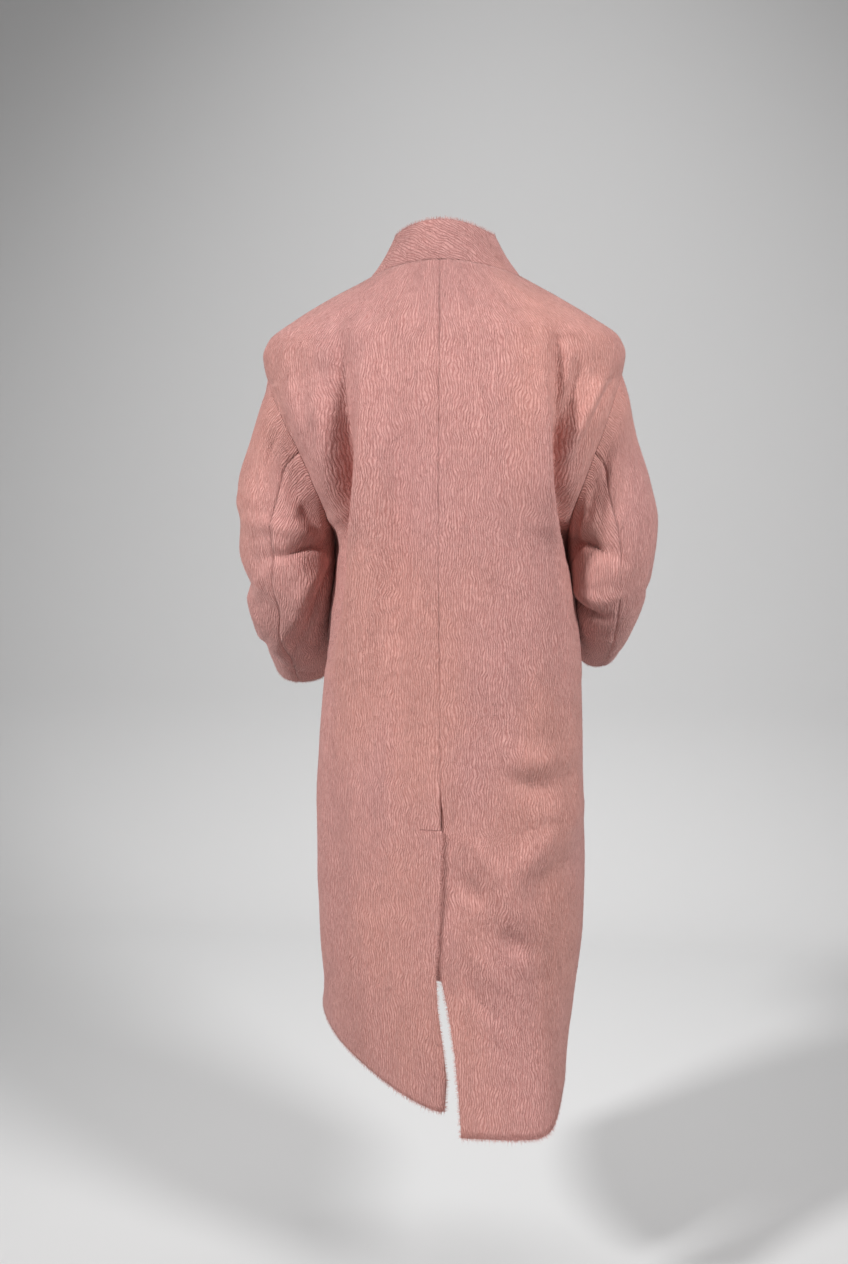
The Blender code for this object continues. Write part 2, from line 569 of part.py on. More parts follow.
def collar(pieces):
    """The stand collar, one piece from the inner front's edge round the neck to the outer front's edge."""
    at = np.linspace(0, len(COLLAR_LEVELS) - 1, COLLAR_CELLS + 1)
    cut = np.full(len(at), float(NECK_LEVEL))
    grids = []
    body_normals = []
    for face, side, turned in NECK_ORDER:
        cells = FRONT_CELLS if face == "front" else BACK_CELLS
        bare = flat_points(COLLAR_LEVELS, at, cut, face, side, cells)
        outward = bare * np.array([1, 1, 0])
        tuck = body_heights(bare, cut, face, side) if face == "front" else np.zeros(bare.shape[:2])
        made = bare + normals_of(bare, outward) * tuck[..., None]
        made[0] = pieces[face, side]["points"][-1]
        edge = pieces[face, side]["normals"][-1]
        grids.append(made[:, ::-1] if turned else made)
        body_normals.append(edge[::-1] if turned else edge)
    grid = np.concatenate([grids[0]] + [part[:, 1:] for part in grids[1:]], axis=1)
    edge = np.concatenate([body_normals[0]] + [part[1:] for part in body_normals[1:]])
    own = normals_of(grid, grid * np.array([1, 1, 0]))
    normals = own.copy()
    body_side, normals[0] = seam_directions(edge, own[0], unit(grid[1] - grid[0]))
    place = 0
    for face, side, turned in NECK_ORDER:
        count = pieces[face, side]["points"].shape[1]
        shared = body_side[place:place + count]
        pieces[face, side]["normals"][-1] = shared[::-1] if turned else shared
        place += count - 1
    shell("collar", grid, lean(normals, own), own, COAT_COLOUR)


def button(name, centre, facing):
    """A plain round button with a raised rim, seated just off the cloth."""
    upright = facing
    across = unit(np.cross(np.array([0.0, 0.0, 1.0]), upright))
    up = np.cross(upright, across)
    profile = ((0.0, 0.0), (0.92, 0.0), (1.0, 0.6), (0.90, 1.0), (0.74, 0.74), (0.0, 0.66))
    turns = np.linspace(0, 2 * np.pi, BUTTON_SEGMENTS, endpoint=False)
    points = []
    for radius, height in profile:
        ring = [0.0] if radius == 0.0 else turns
        for turn in ring:
            flat = (across * math.cos(turn) + up * math.sin(turn)) * radius * BUTTON_RADIUS
            points.append(centre + flat + upright * height * BUTTON_THICK)
    faces = []
    count = BUTTON_SEGMENTS
    last = len(points) - 1
    for step in range(count):
        after = (step + 1) % count
        faces.append([0, 1 + after, 1 + step])
        for ring in range(len(profile) - 3):
            low = 1 + ring * count
            faces.append([low + step, low + after, low + count + after, low + count + step])
        top = last - count
        faces.append([top + step, top + after, last])
    add_mesh(name, points, faces, BUTTON_COLOUR, 0.35)


def buttons(outer_front):
    """Two upright rows of three buttons, each seated on the outer front where it lies."""
    grid = outer_front["points"]
    normals = outer_front["own"]
    for row_name, x in (("edge", BUTTON_ROW_X), ("inner", -BUTTON_ROW_X)):
        for number, z in enumerate(BUTTON_ROW_Z, start=1):
            apart = np.hypot(grid[..., 0] - x, grid[..., 2] - z)
            near = apart < 0.05
            weight = np.exp(-((apart[near] / 0.014) ** 2))[:, None]
            facing = unit(np.sum(normals[near] * weight, axis=0))
            y = (seat_height(grid, x, z, facing) - x * facing[0] - z * facing[2]) / facing[1]
            centre = np.array([x, y, z]) + facing * SEAM_GAP
            button(f"button_{row_name}_{number}", centre, facing)


def seat_height(grid, x, z, facing):
    """How far out along facing the cloth reaches beneath a button at this place."""
    rows, columns = grid.shape[:2]
    reach = []
    for row in range(rows - 1):
        for column in range(columns - 1):
            corners = grid[row:row + 2, column:column + 2].reshape(4, 3)
            share = np.linspace(0, 1, 9)
            for down in share:
                upper = corners[0] * (1 - down) + corners[2] * down
                lower = corners[1] * (1 - down) + corners[3] * down
                for over in share:
                    point = upper * (1 - over) + lower * over
                    if math.hypot(point[0] - x, point[2] - z) < BUTTON_RADIUS:
                        reach.append(point @ facing)
    return max(reach)


def clear_scene():
    """Leaves the scene empty."""
    for thing in list(bpy.data.objects):
        bpy.data.objects.remove(thing, do_unlink=True)


def build():
    """All the coat's pieces."""
    clear_scene()
    levels = np.concatenate([
        np.linspace(0, VENT_LEVEL - 0.25, VENT_CELLS),
        np.linspace(VENT_LEVEL, ARMPIT_LEVEL, SKIRT_CELLS),
        np.linspace(ARMPIT_LEVEL, ARM_TOP_LEVEL, ARMHOLE_CELLS + 1)[1:],
        np.linspace(ARM_TOP_LEVEL, NECK_LEVEL, SHOULDER_CELLS + 1)[1:],
    ])
    pieces = body_pieces(levels)
    sleeve(pieces, levels, 1, LEFT_RINGS, LEFT_SLEEVE_FOLDS)
    sleeve(pieces, levels, -1, RIGHT_RINGS, RIGHT_SLEEVE_FOLDS)
    collar(pieces)
    for (face, side), piece in pieces.items():
        word = "left" if side > 0 else "right"
        through = lean(piece["normals"], piece["own"])
        shell(f"{face}_{word}", piece["points"], through, piece["own"], COAT_COLOUR)
    buttons(pieces["front", -1])


build()
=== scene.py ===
"""Looks of the long double-breasted coat of thick brushed wool, worn and hanging from the shoulders.

Metres, +Z up, +X to the wearer's left, -Y to the wearer's front. The origin is the middle of the
shoulder line, level with the base of the neck.
"""

import math

import bmesh
import bpy
import numpy as np
from mathutils import Matrix, Vector
from mathutils.kdtree import KDTree


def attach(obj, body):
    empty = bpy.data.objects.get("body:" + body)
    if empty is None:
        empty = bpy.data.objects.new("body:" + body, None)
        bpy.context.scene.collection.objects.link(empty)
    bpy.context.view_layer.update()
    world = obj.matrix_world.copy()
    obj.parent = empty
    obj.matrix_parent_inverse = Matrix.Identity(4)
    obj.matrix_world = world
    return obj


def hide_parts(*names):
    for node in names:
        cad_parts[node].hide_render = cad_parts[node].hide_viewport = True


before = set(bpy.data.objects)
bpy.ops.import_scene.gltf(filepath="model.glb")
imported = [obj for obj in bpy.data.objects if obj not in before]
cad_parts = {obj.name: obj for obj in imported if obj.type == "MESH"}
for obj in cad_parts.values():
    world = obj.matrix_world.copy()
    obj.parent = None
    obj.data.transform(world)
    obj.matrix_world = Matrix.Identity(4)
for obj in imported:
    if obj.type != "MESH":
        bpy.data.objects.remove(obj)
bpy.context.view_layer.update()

# Cloth and seams
WALL = 0.003
SEAM_GAP = 0.0001
LAP_GAP = 0.0014
SEAM_DIP = 0.0007
SEAM_DIP_WIDTH = 0.0032

# How far a sleeve stays off the body's cloth, how near beside it a point is moved, and over which rings
# below the armhole this sets in
SLEEVE_CLEAR = 0.0006
SLEEVE_CLEAR_REACH = 0.010
SLEEVE_CLEAR_RINGS = (0.1, 0.7)

# How many cells each stretch of cloth is cut into
VENT_CELLS = 46
VENT_TOP_CELLS = 10
SKIRT_CELLS = 62
ARMHOLE_CELLS = 60
SHOULDER_CELLS = 30
BACK_CELLS = 80
FRONT_CELLS = 46
COLLAR_CELLS = 16
SLEEVE_CELLS = 118
CROWDING = 0.35

# The coat's levels, from the hem to the neck seam, one row each. The edge is the side seam, then the
# armhole, then the shoulder seam. Hind and fore are the armhole's back and front edges.
LEVEL_COLUMNS = (
    "z_edge", "x_left", "x_right", "fore_in", "y_hind", "y_fore", "turn",
    "z_back", "x_back", "y_back", "z_front", "y_front", "square", "rise",
)
LEVELS = (
    (-1.130, 0.182, 0.186, 0.000, 0.000, 0.000, 90, -1.168, -0.012, 0.186, -1.118, -0.165, 0.80, 1.2),
    (-1.045, 0.178, 0.196, 0.000, 0.000, 0.000, 90, -1.075, -0.011, 0.177, -1.040, -0.161, 0.80, 1.5),
    (-0.945, 0.182, 0.207, 0.000, 0.000, 0.000, 90, -0.965, -0.010, 0.169, -0.945, -0.157, 0.78, 2.0),
    (-0.850, 0.185, 0.208, 0.000, 0.000, 0.000, 90, -0.860, -0.010, 0.161, -0.850, -0.153, 0.76, 2.0),
    (-0.760, 0.185, 0.204, 0.000, 0.000, 0.000, 90, -0.763, -0.010, 0.156, -0.760, -0.149, 0.75, 2.0),
    (-0.670, 0.180, 0.202, 0.000, 0.000, 0.000, 90, -0.670, -0.009, 0.152, -0.670, -0.145, 0.74, 2.0),
    (-0.580, 0.172, 0.198, 0.000, 0.000, 0.000, 90, -0.575, -0.008, 0.150, -0.580, -0.141, 0.74, 2.0),
    (-0.485, 0.167, 0.187, 0.000, 0.000, 0.000, 90, -0.475, -0.007, 0.150, -0.485, -0.137, 0.74, 2.0),
    (-0.385, 0.157, 0.176, 0.000, 0.000, 0.000, 90, -0.370, -0.006, 0.151, -0.390, -0.133, 0.76, 2.0),
    (-0.340, 0.162, 0.181, 0.004, 0.048, -0.042, 78, -0.322, -0.006, 0.150, -0.350, -0.130, 0.78, 2.0),
    (-0.283, 0.181, 0.200, 0.012, 0.070, -0.058, 68, -0.262, -0.005, 0.147, -0.300, -0.125, 0.80, 2.0),
    (-0.215, 0.213, 0.225, 0.014, 0.066, -0.054, 66, -0.193, -0.005, 0.141, -0.240, -0.115, 0.84, 2.0),
    (-0.165, 0.241, 0.241, 0.006, 0.034, -0.029, 76, -0.144, -0.004, 0.132, -0.196, -0.105, 0.86, 2.0),
    (-0.146, 0.251, 0.247, 0.000, 0.000, 0.000, 90, -0.118, -0.004, 0.126, -0.171, -0.099, 0.86, 2.0),
    (-0.119, 0.255, 0.251, 0.000, 0.000, 0.000, 90, -0.098, -0.003, 0.120, -0.153, -0.094, 0.86, 2.0),
    (-0.096, 0.246, 0.242, 0.000, -0.001, -0.001, 90, -0.080, -0.003, 0.115, -0.136, -0.089, 0.86, 2.0),
    (-0.066, 0.204, 0.200, 0.000, -0.002, -0.002, 90, -0.051, -0.002, 0.104, -0.112, -0.079, 0.90, 2.0),
    (-0.036, 0.151, 0.149, 0.000, -0.003, -0.003, 90, -0.018, -0.001, 0.091, -0.087, -0.070, 0.95, 2.0),
    (-0.012, 0.104, 0.104, 0.000, -0.004, -0.004, 90, 0.012, 0.000, 0.080, -0.066, -0.066, 1.00, 2.0),
)
VENT_LEVEL = 4
ARMPIT_LEVEL = 8
ARM_TOP_LEVEL = 13
NECK_LEVEL = 18

# The stand collar, from the neck seam to its upper edge
COLLAR_LEVELS = (
    (-0.012, 0.104, 0.104, 0.000, -0.004, -0.004, 90, 0.012, 0.000, 0.080, -0.066, -0.066, 1.00, 2.0),
    (0.003, 0.092, 0.092, 0.000, -0.003, -0.003, 90, 0.028, 0.000, 0.079, -0.050, -0.067, 1.00, 2.0),
    (0.023, 0.079, 0.079, 0.000, 0.000, 0.000, 90, 0.047, 0.000, 0.076, -0.030, -0.067, 1.00, 2.0),
    (0.044, 0.068, 0.068, 0.000, 0.002, 0.002, 90, 0.065, 0.000, 0.072, -0.008, -0.065, 1.00, 2.0),
)

# The stride pushes the right back hem out and down
HEM_PUSH_BACK = 0.032
HEM_DROP = 0.022
HEM_SQUARE = 0.50
LEFT_SIDE_LIFT = 0.050
LEFT_HEM_STRAIGHT = 0.25
RIGHT_HEM_FLAT = 6.0
RIGHT_SIDE_DROP = 0.010
SWING_LEVEL = 1.75

# Edges of the back vent: x of the left piece's edge and of the right piece's edge at each level
VENT_COLUMNS = ("level", "left_edge", "right_edge")
VENT = (
    (0.0, -0.020, -0.046),
    (0.5, -0.022, -0.041),
    (1.0, -0.016, -0.034),
    (1.5, -0.008, -0.023),
    (2.0, -0.005, -0.009),
    (2.3, -0.007, 0.004),
    (2.8, -0.010, 0.020),
    (3.75, -0.012, 0.034),
    (4.0, -0.012, -0.0115),
)

# How far each front reaches past the centre line
LAP_COLUMNS = ("level", "reach")
LAP = ((0, 0.095), (9, 0.095), (14, 0.076), (18, 0.048))

# Folds of the body: path in x and z as upper, middle and lower point, width either side, depth out
BODY_FOLD_COLUMNS = (
    "face", "x_up", "z_up", "x_mid", "z_mid", "x_low", "z_low", "width_in", "width_out", "depth",
)
BODY_FOLDS = (
    ("back", 0.100, -0.140, 0.106, -0.330, 0.146, -0.560, 0.030, 0.014, 0.013),
    ("back", 0.146, -0.140, 0.133, -0.330, 0.160, -0.540, 0.015, 0.018, -0.026),
    ("back", -0.150, -0.130, -0.157, -0.330, -0.190, -0.560, 0.016, 0.030, 0.013),
    ("back", -0.186, -0.170, -0.172, -0.270, -0.184, -0.420, 0.016, 0.014, -0.016),
    ("back", -0.194, -0.732, -0.154, -0.788, -0.092, -0.842, 0.030, 0.022, 0.010),
    ("back", -0.092, -0.842, -0.118, -0.878, -0.160, -0.935, 0.024, 0.026, 0.008),
    ("back", 0.043, -0.130, 0.056, -0.370, 0.102, -0.690, 0.020, 0.020, -0.007),
    ("back", 0.060, -0.700, 0.080, -0.900, 0.085, -1.160, 0.045, 0.045, -0.006),
    ("front", 0.150, -0.270, 0.128, -0.360, 0.092, -0.420, 0.016, 0.022, -0.008),
    ("front", -0.158, -0.280, -0.135, -0.370, -0.098, -0.440, 0.022, 0.016, -0.009),
    ("front", 0.126, -0.620, 0.138, -0.850, 0.134, -1.110, 0.026, 0.030, 0.009),
    ("front", -0.132, -0.600, -0.146, -0.820, -0.150, -1.120, 0.030, 0.026, 0.010),
    ("front", -0.070, -0.650, -0.060, -0.860, -0.066, -1.110, 0.030, 0.030, -0.006),
)

# Sleeve rings from the armhole to the cuff: outermost and innermost points, the middle's y, half
# depth front to back and how far the ring leans as the arm bends forward
RING_COLUMNS = ("x_out", "z_out", "x_in", "z_in", "y_mid", "depth", "lean")
LEFT_RINGS = (
    (0.258, -0.180, 0.157, -0.396, 0.002, 0.068, 0),
    (0.274, -0.235, 0.156, -0.408, 0.008, 0.071, 0),
    (0.292, -0.300, 0.156, -0.420, 0.014, 0.070, 2),
    (0.289, -0.344, 0.156, -0.432, 0.019, 0.068, 10),
    (0.292, -0.386, 0.158, -0.446, 0.018, 0.065, 22),
    (0.279, -0.432, 0.160, -0.462, 0.004, 0.064, 34),
    (0.289, -0.472, 0.163, -0.482, -0.022, 0.062, 45),
    (0.289, -0.504, 0.165, -0.506, -0.057, 0.060, 52),
    (0.280, -0.533, 0.171, -0.532, -0.097, 0.058, 54),
    (0.282, -0.561, 0.175, -0.556, -0.136, 0.056, 54),
    (0.280, -0.586, 0.176, -0.575, -0.165, 0.054, 54),
)
RIGHT_RINGS = (
    (0.257, -0.176, 0.176, -0.396, 0.002, 0.068, 0),
    (0.268, -0.228, 0.177, -0.408, 0.008, 0.071, 0),
    (0.290, -0.292, 0.177, -0.420, 0.014, 0.070, 2),
    (0.301, -0.346, 0.178, -0.432, 0.018, 0.068, 10),
    (0.297, -0.395, 0.180, -0.446, 0.014, 0.065, 24),
    (0.292, -0.430, 0.182, -0.459, -0.002, 0.064, 38),
    (0.284, -0.461, 0.183, -0.476, -0.030, 0.063, 50),
    (0.276, -0.487, 0.185, -0.495, -0.066, 0.061, 56),
    (0.269, -0.510, 0.188, -0.514, -0.106, 0.058, 58),
    (0.262, -0.530, 0.185, -0.532, -0.144, 0.056, 58),
    (0.257, -0.545, 0.183, -0.547, -0.174, 0.054, 58),
)
HIND_SEAM_PART = 0.50
FORE_SEAM_PART = 0.63

# Folds of the sleeves: start and end as turn round the sleeve in degrees, 90 at the back, and ring
SLEEVE_FOLD_COLUMNS = ("turn_a", "ring_a", "turn_mid", "ring_mid", "turn_b", "ring_b", "width", "depth")
LEFT_SLEEVE_FOLDS = (
    (152, 0.5, 116, 2.8, 66, 4.5, 0.012, -0.008),
    (168, 2.6, 140, 5.2, 108, 7.4, 0.008, -0.007),
    (60, 2.6, 20, 3.4, -20, 3.8, 0.016, 0.004),
)
RIGHT_SLEEVE_FOLDS = (
    (152, 0.5, 118, 2.3, 80, 4.0, 0.011, -0.008),
    (170, 4.9, 122, 5.45, 90, 5.9, 0.010, -0.008),
    (162, 6.8, 148, 7.5, 130, 8.3, 0.008, -0.005),
)

# Buttons: two upright rows of three on the outer front
BUTTON_RADIUS = 0.014
BUTTON_THICK = 0.0045
BUTTON_ROW_X = 0.068
BUTTON_ROW_Z = (-0.295, -0.435, -0.575)

# The right shoulder is carried higher: rise for each metre across, fading out below
SHOULDER_TILT = 0.013
TILT_FROM_Z = -0.36
TILT_FULL_Z = -0.12

# Finer creases of the body and the sleeves, in the same columns
BODY_CREASES = (
    ("back", 0.135, -0.075, 0.127, -0.215, 0.140, -0.380, 0.013, 0.011, -0.019),
    ("back", 0.101, -0.100, 0.100, -0.250, 0.124, -0.400, 0.016, 0.008, 0.005),
    ("back", -0.163, -0.080, -0.166, -0.225, -0.180, -0.390, 0.009, 0.011, -0.021),
    ("back", -0.143, -0.100, -0.150, -0.260, -0.166, -0.420, 0.008, 0.018, 0.005),
    ("back", -0.229, -0.126, -0.205, -0.186, -0.174, -0.262, 0.010, 0.010, 0.009),
    ("back", -0.190, -0.120, -0.180, -0.175, -0.168, -0.240, 0.009, 0.007, -0.010),
    ("back", -0.238, -0.146, -0.208, -0.200, -0.186, -0.268, 0.006, 0.007, -0.007),
    ("back", -0.166, -0.090, -0.178, -0.095, -0.196, -0.112, 0.008, 0.008, -0.0035),
    ("back", 0.074, -0.050, 0.072, -0.130, 0.068, -0.240, 0.018, 0.018, -0.006),
    ("back", 0.001, -0.140, 0.003, -0.190, 0.004, -0.260, 0.009, 0.009, -0.003),
    ("back", 0.046, -0.180, 0.049, -0.440, 0.058, -0.740, 0.020, 0.010, -0.007),
    ("back", 0.022, -0.300, 0.026, -0.480, 0.030, -0.740, 0.012, 0.012, 0.003),
    ("back", 0.078, -0.220, 0.082, -0.400, 0.112, -0.640, 0.015, 0.015, 0.005),
    ("back", 0.106, -0.100, 0.112, -0.200, 0.118, -0.330, 0.007, 0.007, -0.003),
    ("back", 0.213, -0.120, 0.196, -0.190, 0.170, -0.262, 0.010, 0.010, 0.005),
    ("back", 0.240, -0.158, 0.213, -0.222, 0.174, -0.310, 0.008, 0.008, -0.008),
    ("back", 0.165, -0.150, 0.160, -0.210, 0.150, -0.290, 0.010, 0.010, 0.003),
    ("back", -0.096, -0.684, -0.148, -0.704, -0.196, -0.694, 0.016, 0.016, -0.007),
    ("back", -0.104, -0.654, -0.146, -0.668, -0.196, -0.656, 0.018, 0.018, 0.005),
    ("back", -0.122, -0.738, -0.152, -0.744, -0.190, -0.734, 0.014, 0.014, 0.003),
    ("back", -0.034, -0.822, -0.056, -0.852, -0.078, -0.862, 0.016, 0.016, -0.008),
    ("back", -0.040, -0.770, -0.072, -0.806, -0.096, -0.846, 0.012, 0.012, 0.004),
    ("back", -0.136, -0.852, -0.166, -0.838, -0.198, -0.816, 0.022, 0.022, -0.010),
    ("back", -0.096, -0.902, -0.114, -0.928, -0.136, -0.936, 0.015, 0.015, -0.009),
    ("back", -0.022, -0.892, -0.026, -0.930, -0.030, -0.980, 0.012, 0.014, 0.004),
    ("back", -0.044, -0.944, -0.058, -0.996, -0.098, -1.036, 0.009, 0.009, -0.005),
    ("back", -0.060, -0.930, -0.084, -0.970, -0.120, -1.000, 0.012, 0.012, 0.004),
    ("back", -0.150, -0.900, -0.168, -0.960, -0.170, -1.060, 0.018, 0.018, 0.004),
    ("back", 0.134, -0.700, 0.140, -0.860, 0.142, -1.060, 0.014, 0.014, -0.003),
    ("back", 0.090, -0.760, 0.096, -0.900, 0.100, -1.080, 0.012, 0.012, 0.0025),
    ("back", 0.030, -0.860, 0.034, -0.980, 0.030, -1.110, 0.012, 0.012, -0.002),
    ("back", -0.040, -0.420, -0.046, -0.560, -0.050, -0.680, 0.018, 0.018, 0.002),
    ("back", -0.110, -0.420, -0.118, -0.560, -0.140, -0.660, 0.014, 0.014, -0.0025),
    ("front", 0.176, -0.220, 0.150, -0.290, 0.126, -0.330, 0.010, 0.010, 0.004),
    ("front", -0.180, -0.220, -0.156, -0.300, -0.126, -0.350, 0.010, 0.010, 0.004),
    ("front", 0.150, -0.420, 0.120, -0.470, 0.100, -0.560, 0.014, 0.014, -0.004),
    ("front", -0.156, -0.430, -0.120, -0.500, -0.104, -0.600, 0.014, 0.014, -0.004),
    ("front", 0.096, -0.700, 0.102, -0.860, 0.100, -1.080, 0.014, 0.014, -0.003),
    ("front", -0.104, -0.740, -0.104, -0.880, -0.110, -1.090, 0.016, 0.014, -0.003),
    ("front", -0.030, -0.800, -0.024, -0.930, -0.030, -1.090, 0.020, 0.020, 0.002),
    ("front", 0.060, -0.180, 0.074, -0.240, 0.080, -0.330, 0.016, 0.016, -0.002),
    ("front", -0.060, -0.170, -0.080, -0.230, -0.086, -0.320, 0.016, 0.016, -0.002),
)
LEFT_SLEEVE_CREASES = (
    (160, 0.6, 118, 2.75, 84, 4.0, 0.0035, -0.0045),
    (142, 0.1, 104, 2.3, 40, 3.7, 0.012, 0.005),
    (150, 2.6, 120, 4.7, 86, 6.4, 0.013, 0.005),
    (168, 2.8, 140, 5.2, 112, 7.2, 0.0035, -0.004),
    (136, 5.6, 104, 7.2, 84, 8.8, 0.008, -0.005),
    (120, 5.2, 92, 6.6, 70, 8.2, 0.010, 0.003),
    (70, 4.9, 40, 6.0, 0, 6.9, 0.010, 0.003),
    (60, 0.4, 66, 1.6, 78, 2.8, 0.006, -0.003),
    (110, 0.3, 100, 1.4, 96, 2.6, 0.007, 0.003),
    (60, 7.4, 40, 8.4, 10, 9.2, 0.008, -0.003),
    (40, 9.0, 70, 9.6, 110, 10.2, 0.007, -0.003),
    (300, 2.2, 270, 3.6, 220, 4.6, 0.010, -0.005),
    (310, 4.6, 270, 5.4, 215, 5.8, 0.010, -0.006),
    (320, 6.2, 280, 6.8, 230, 7.0, 0.010, -0.004),
    (330, 1.0, 300, 2.0, 270, 2.6, 0.010, 0.003),
)
RIGHT_SLEEVE_CREASES = (
    (150, 0.5, 117, 2.35, 94, 3.5, 0.0035, -0.0045),
    (140, 0.1, 110, 1.7, 66, 3.3, 0.012, 0.004),
    (160, 4.1, 120, 4.7, 76, 5.1, 0.010, 0.004),
    (168, 4.95, 122, 5.5, 98, 5.85, 0.0035, -0.0045),
    (150, 6.2, 118, 6.8, 84, 7.2, 0.010, 0.003),
    (20, 5.0, 20, 5.8, 0, 6.4, 0.008, -0.003),
    (70, 0.3, 84, 1.6, 96, 2.8, 0.006, -0.003),
    (100, 0.2, 112, 1.2, 128, 2.2, 0.006, 0.003),
    (120, 0.4, 140, 1.4, 160, 2.2, 0.006, -0.004),
    (30, 7.4, 50, 8.4, 80, 9.2, 0.008, -0.003),
    (300, 2.2, 270, 3.6, 220, 4.6, 0.010, -0.005),
    (310, 4.6, 270, 5.4, 215, 5.8, 0.010, -0.006),
    (320, 6.2, 280, 6.8, 230, 7.0, 0.010, -0.004),
)

# The loose ripple that the thick cloth keeps all over
RIPPLES = ((0.090, 0.0012), (0.038, 0.0006))

# Fibres of the brushed face: strands for each square metre, length, width and lift
FIBRE_COLUMNS = ("density", "length", "width", "lift")
FACE_FIBRES = (105000, 0.0085, 0.00042, 0.0014)
EDGE_FIBRES = (1100000, 0.0048, 0.00038, 0.0024)

# Stitches across the top of the vent, from and to as metres off the seam, and round the buttonholes
VENT_STITCH_FROM = 0.001
VENT_STITCH_TO = 0.029
STITCH_PITCH = 0.0042
BUTTONHOLE_LENGTH = 0.030

# The studio's floor, its wall and the sweep between them
FLOOR_Z = -1.50
WALL_Y = -1.75
SWEEP = 0.45

# Where each piece's grain starts, so that no two pieces repeat the same streaks
FRONT_GRAIN_AT = 8.0
COLLAR_GRAIN_AT = 5.0
SLEEVE_GRAIN_AT = {
    "top_sleeve_left": 2.0, "under_sleeve_left": 2.7, "top_sleeve_right": 3.4, "under_sleeve_right": 4.1,
}

# Share of the fibres that grows on the faces turned away or under an arm
SHARE_SEEN = {
    "front_left": 0.42, "front_right": 0.42, "under_sleeve_left": 0.6, "under_sleeve_right": 0.6,
}

# Free edges that carry a fringe of fibres
FREE_EDGES = {
    "back_left": ("first_row", "first_column"), "back_right": ("first_row", "first_column"),
    "front_left": ("first_row",), "front_right": ("first_row", "first_column"),
    "top_sleeve_left": ("last_row",), "under_sleeve_left": ("last_row",),
    "top_sleeve_right": ("last_row",), "under_sleeve_right": ("last_row",),
    "collar": ("last_row",),
}

# Button section as shares of its radius and thickness, from the middle of its seat to its face
BUTTON_PROFILE = (
    (0.0, 0.0), (0.60, 0.0), (0.93, 0.06), (1.0, 0.50), (0.95, 0.92), (0.84, 0.98),
    (0.72, 0.74), (0.50, 0.66), (0.0, 0.66),
)
BUTTON_RINGS = 25
BUTTON_TURNS = 48
HOLE_APART = 0.0021
HOLE_RADIUS = 0.0009
THREAD_RADIUS = 0.00024
HOLE_PLACES = (
    (-HOLE_APART, -HOLE_APART), (HOLE_APART, -HOLE_APART),
    (HOLE_APART, HOLE_APART), (-HOLE_APART, HOLE_APART),
)

# Camera, and lamps as place, what they face, size in metres, beam in degrees and power in watts
CAMERA_AT = (-0.2304, 2.4694, 0.0)
CAMERA_HEADING = 6.0
CAMERA_PITCH = 11.7
LAMPS = (
    ("right", (-2.5, 1.9, 1.40), (0.0, 0.0, -0.45), 1.1, 74.0, 18.5),
    ("left", (2.3, 1.9, 1.30), (0.0, 0.0, -0.75), 0.5, 74.0, 18.0),
    ("floor", (0.0, -0.8, 1.35), (0.0, -1.0, -1.5), 1.4, 110.0, 8.0),
)
WORLD_LIGHT = 0.145


def as_columns(names, rows):
    """A table as one array for each named column."""
    return {name: np.array([row[place] for row in rows]) for place, name in enumerate(names)}


def smooth_through(knots, values, at):
    """Cubic curve through the values at the knots, with no overshoot between them."""
    knots = np.asarray(knots, float)
    values = np.asarray(values, float)
    extra = (1,) * (values.ndim - 1)
    steps = np.diff(knots).reshape((-1,) + extra)
    slopes = np.diff(values, axis=0) / steps
    tangents = np.zeros_like(values)
    tangents[0] = slopes[0]
    tangents[-1] = slopes[-1]
    before = slopes[:-1]
    after = slopes[1:]
    same_way = before * after > 0
    total = np.where(same_way, before + after, 1.0)
    tangents[1:-1] = np.where(same_way, 2 * before * after / total, 0.0)
    at = np.asarray(at, float)
    cell = np.clip(np.searchsorted(knots, at, side="right") - 1, 0, len(knots) - 2)
    width = (knots[cell + 1] - knots[cell]).reshape((-1,) + extra)
    part = np.clip((at - knots[cell]) / (knots[cell + 1] - knots[cell]), 0, 1).reshape((-1,) + extra)
    one = 1 - part
    return (
        values[cell] * (1 + 2 * part) * one**2
        + tangents[cell] * width * part * one**2
        + values[cell + 1] * part**2 * (3 - 2 * part)
        - tangents[cell + 1] * width * part**2 * one
    )


def ramp(value, low, high):
    """0 below low, 1 above high and smooth between."""
    part = np.clip((value - low) / (high - low), 0, 1)
    return part * part * (3 - 2 * part)


def tilted(points):
    """The points with the shoulders' tilt."""
    moved = points.copy()
    moved[..., 2] -= SHOULDER_TILT * points[..., 0] * ramp(points[..., 2], TILT_FROM_Z, TILT_FULL_Z)
    return moved


def unit(vectors):
    """The vectors at length one."""
    return vectors / np.maximum(np.linalg.norm(vectors, axis=-1, keepdims=True), 1e-12)


def levels_at(rows, levels):
    """Every column of a level table at the given levels."""
    columns = as_columns(LEVEL_COLUMNS, rows)
    return {name: smooth_through(np.arange(len(rows)), column, levels) for name, column in columns.items()}


def swing(levels):
    """How much of the stride's push each level takes."""
    return np.clip((SWING_LEVEL - levels) / SWING_LEVEL, 0, 1) ** 1.3


def side_lift(side):
    """How far the stride lifts the side of the hem, left or right."""
    return LEFT_SIDE_LIFT if side > 0 else -RIGHT_SIDE_DROP


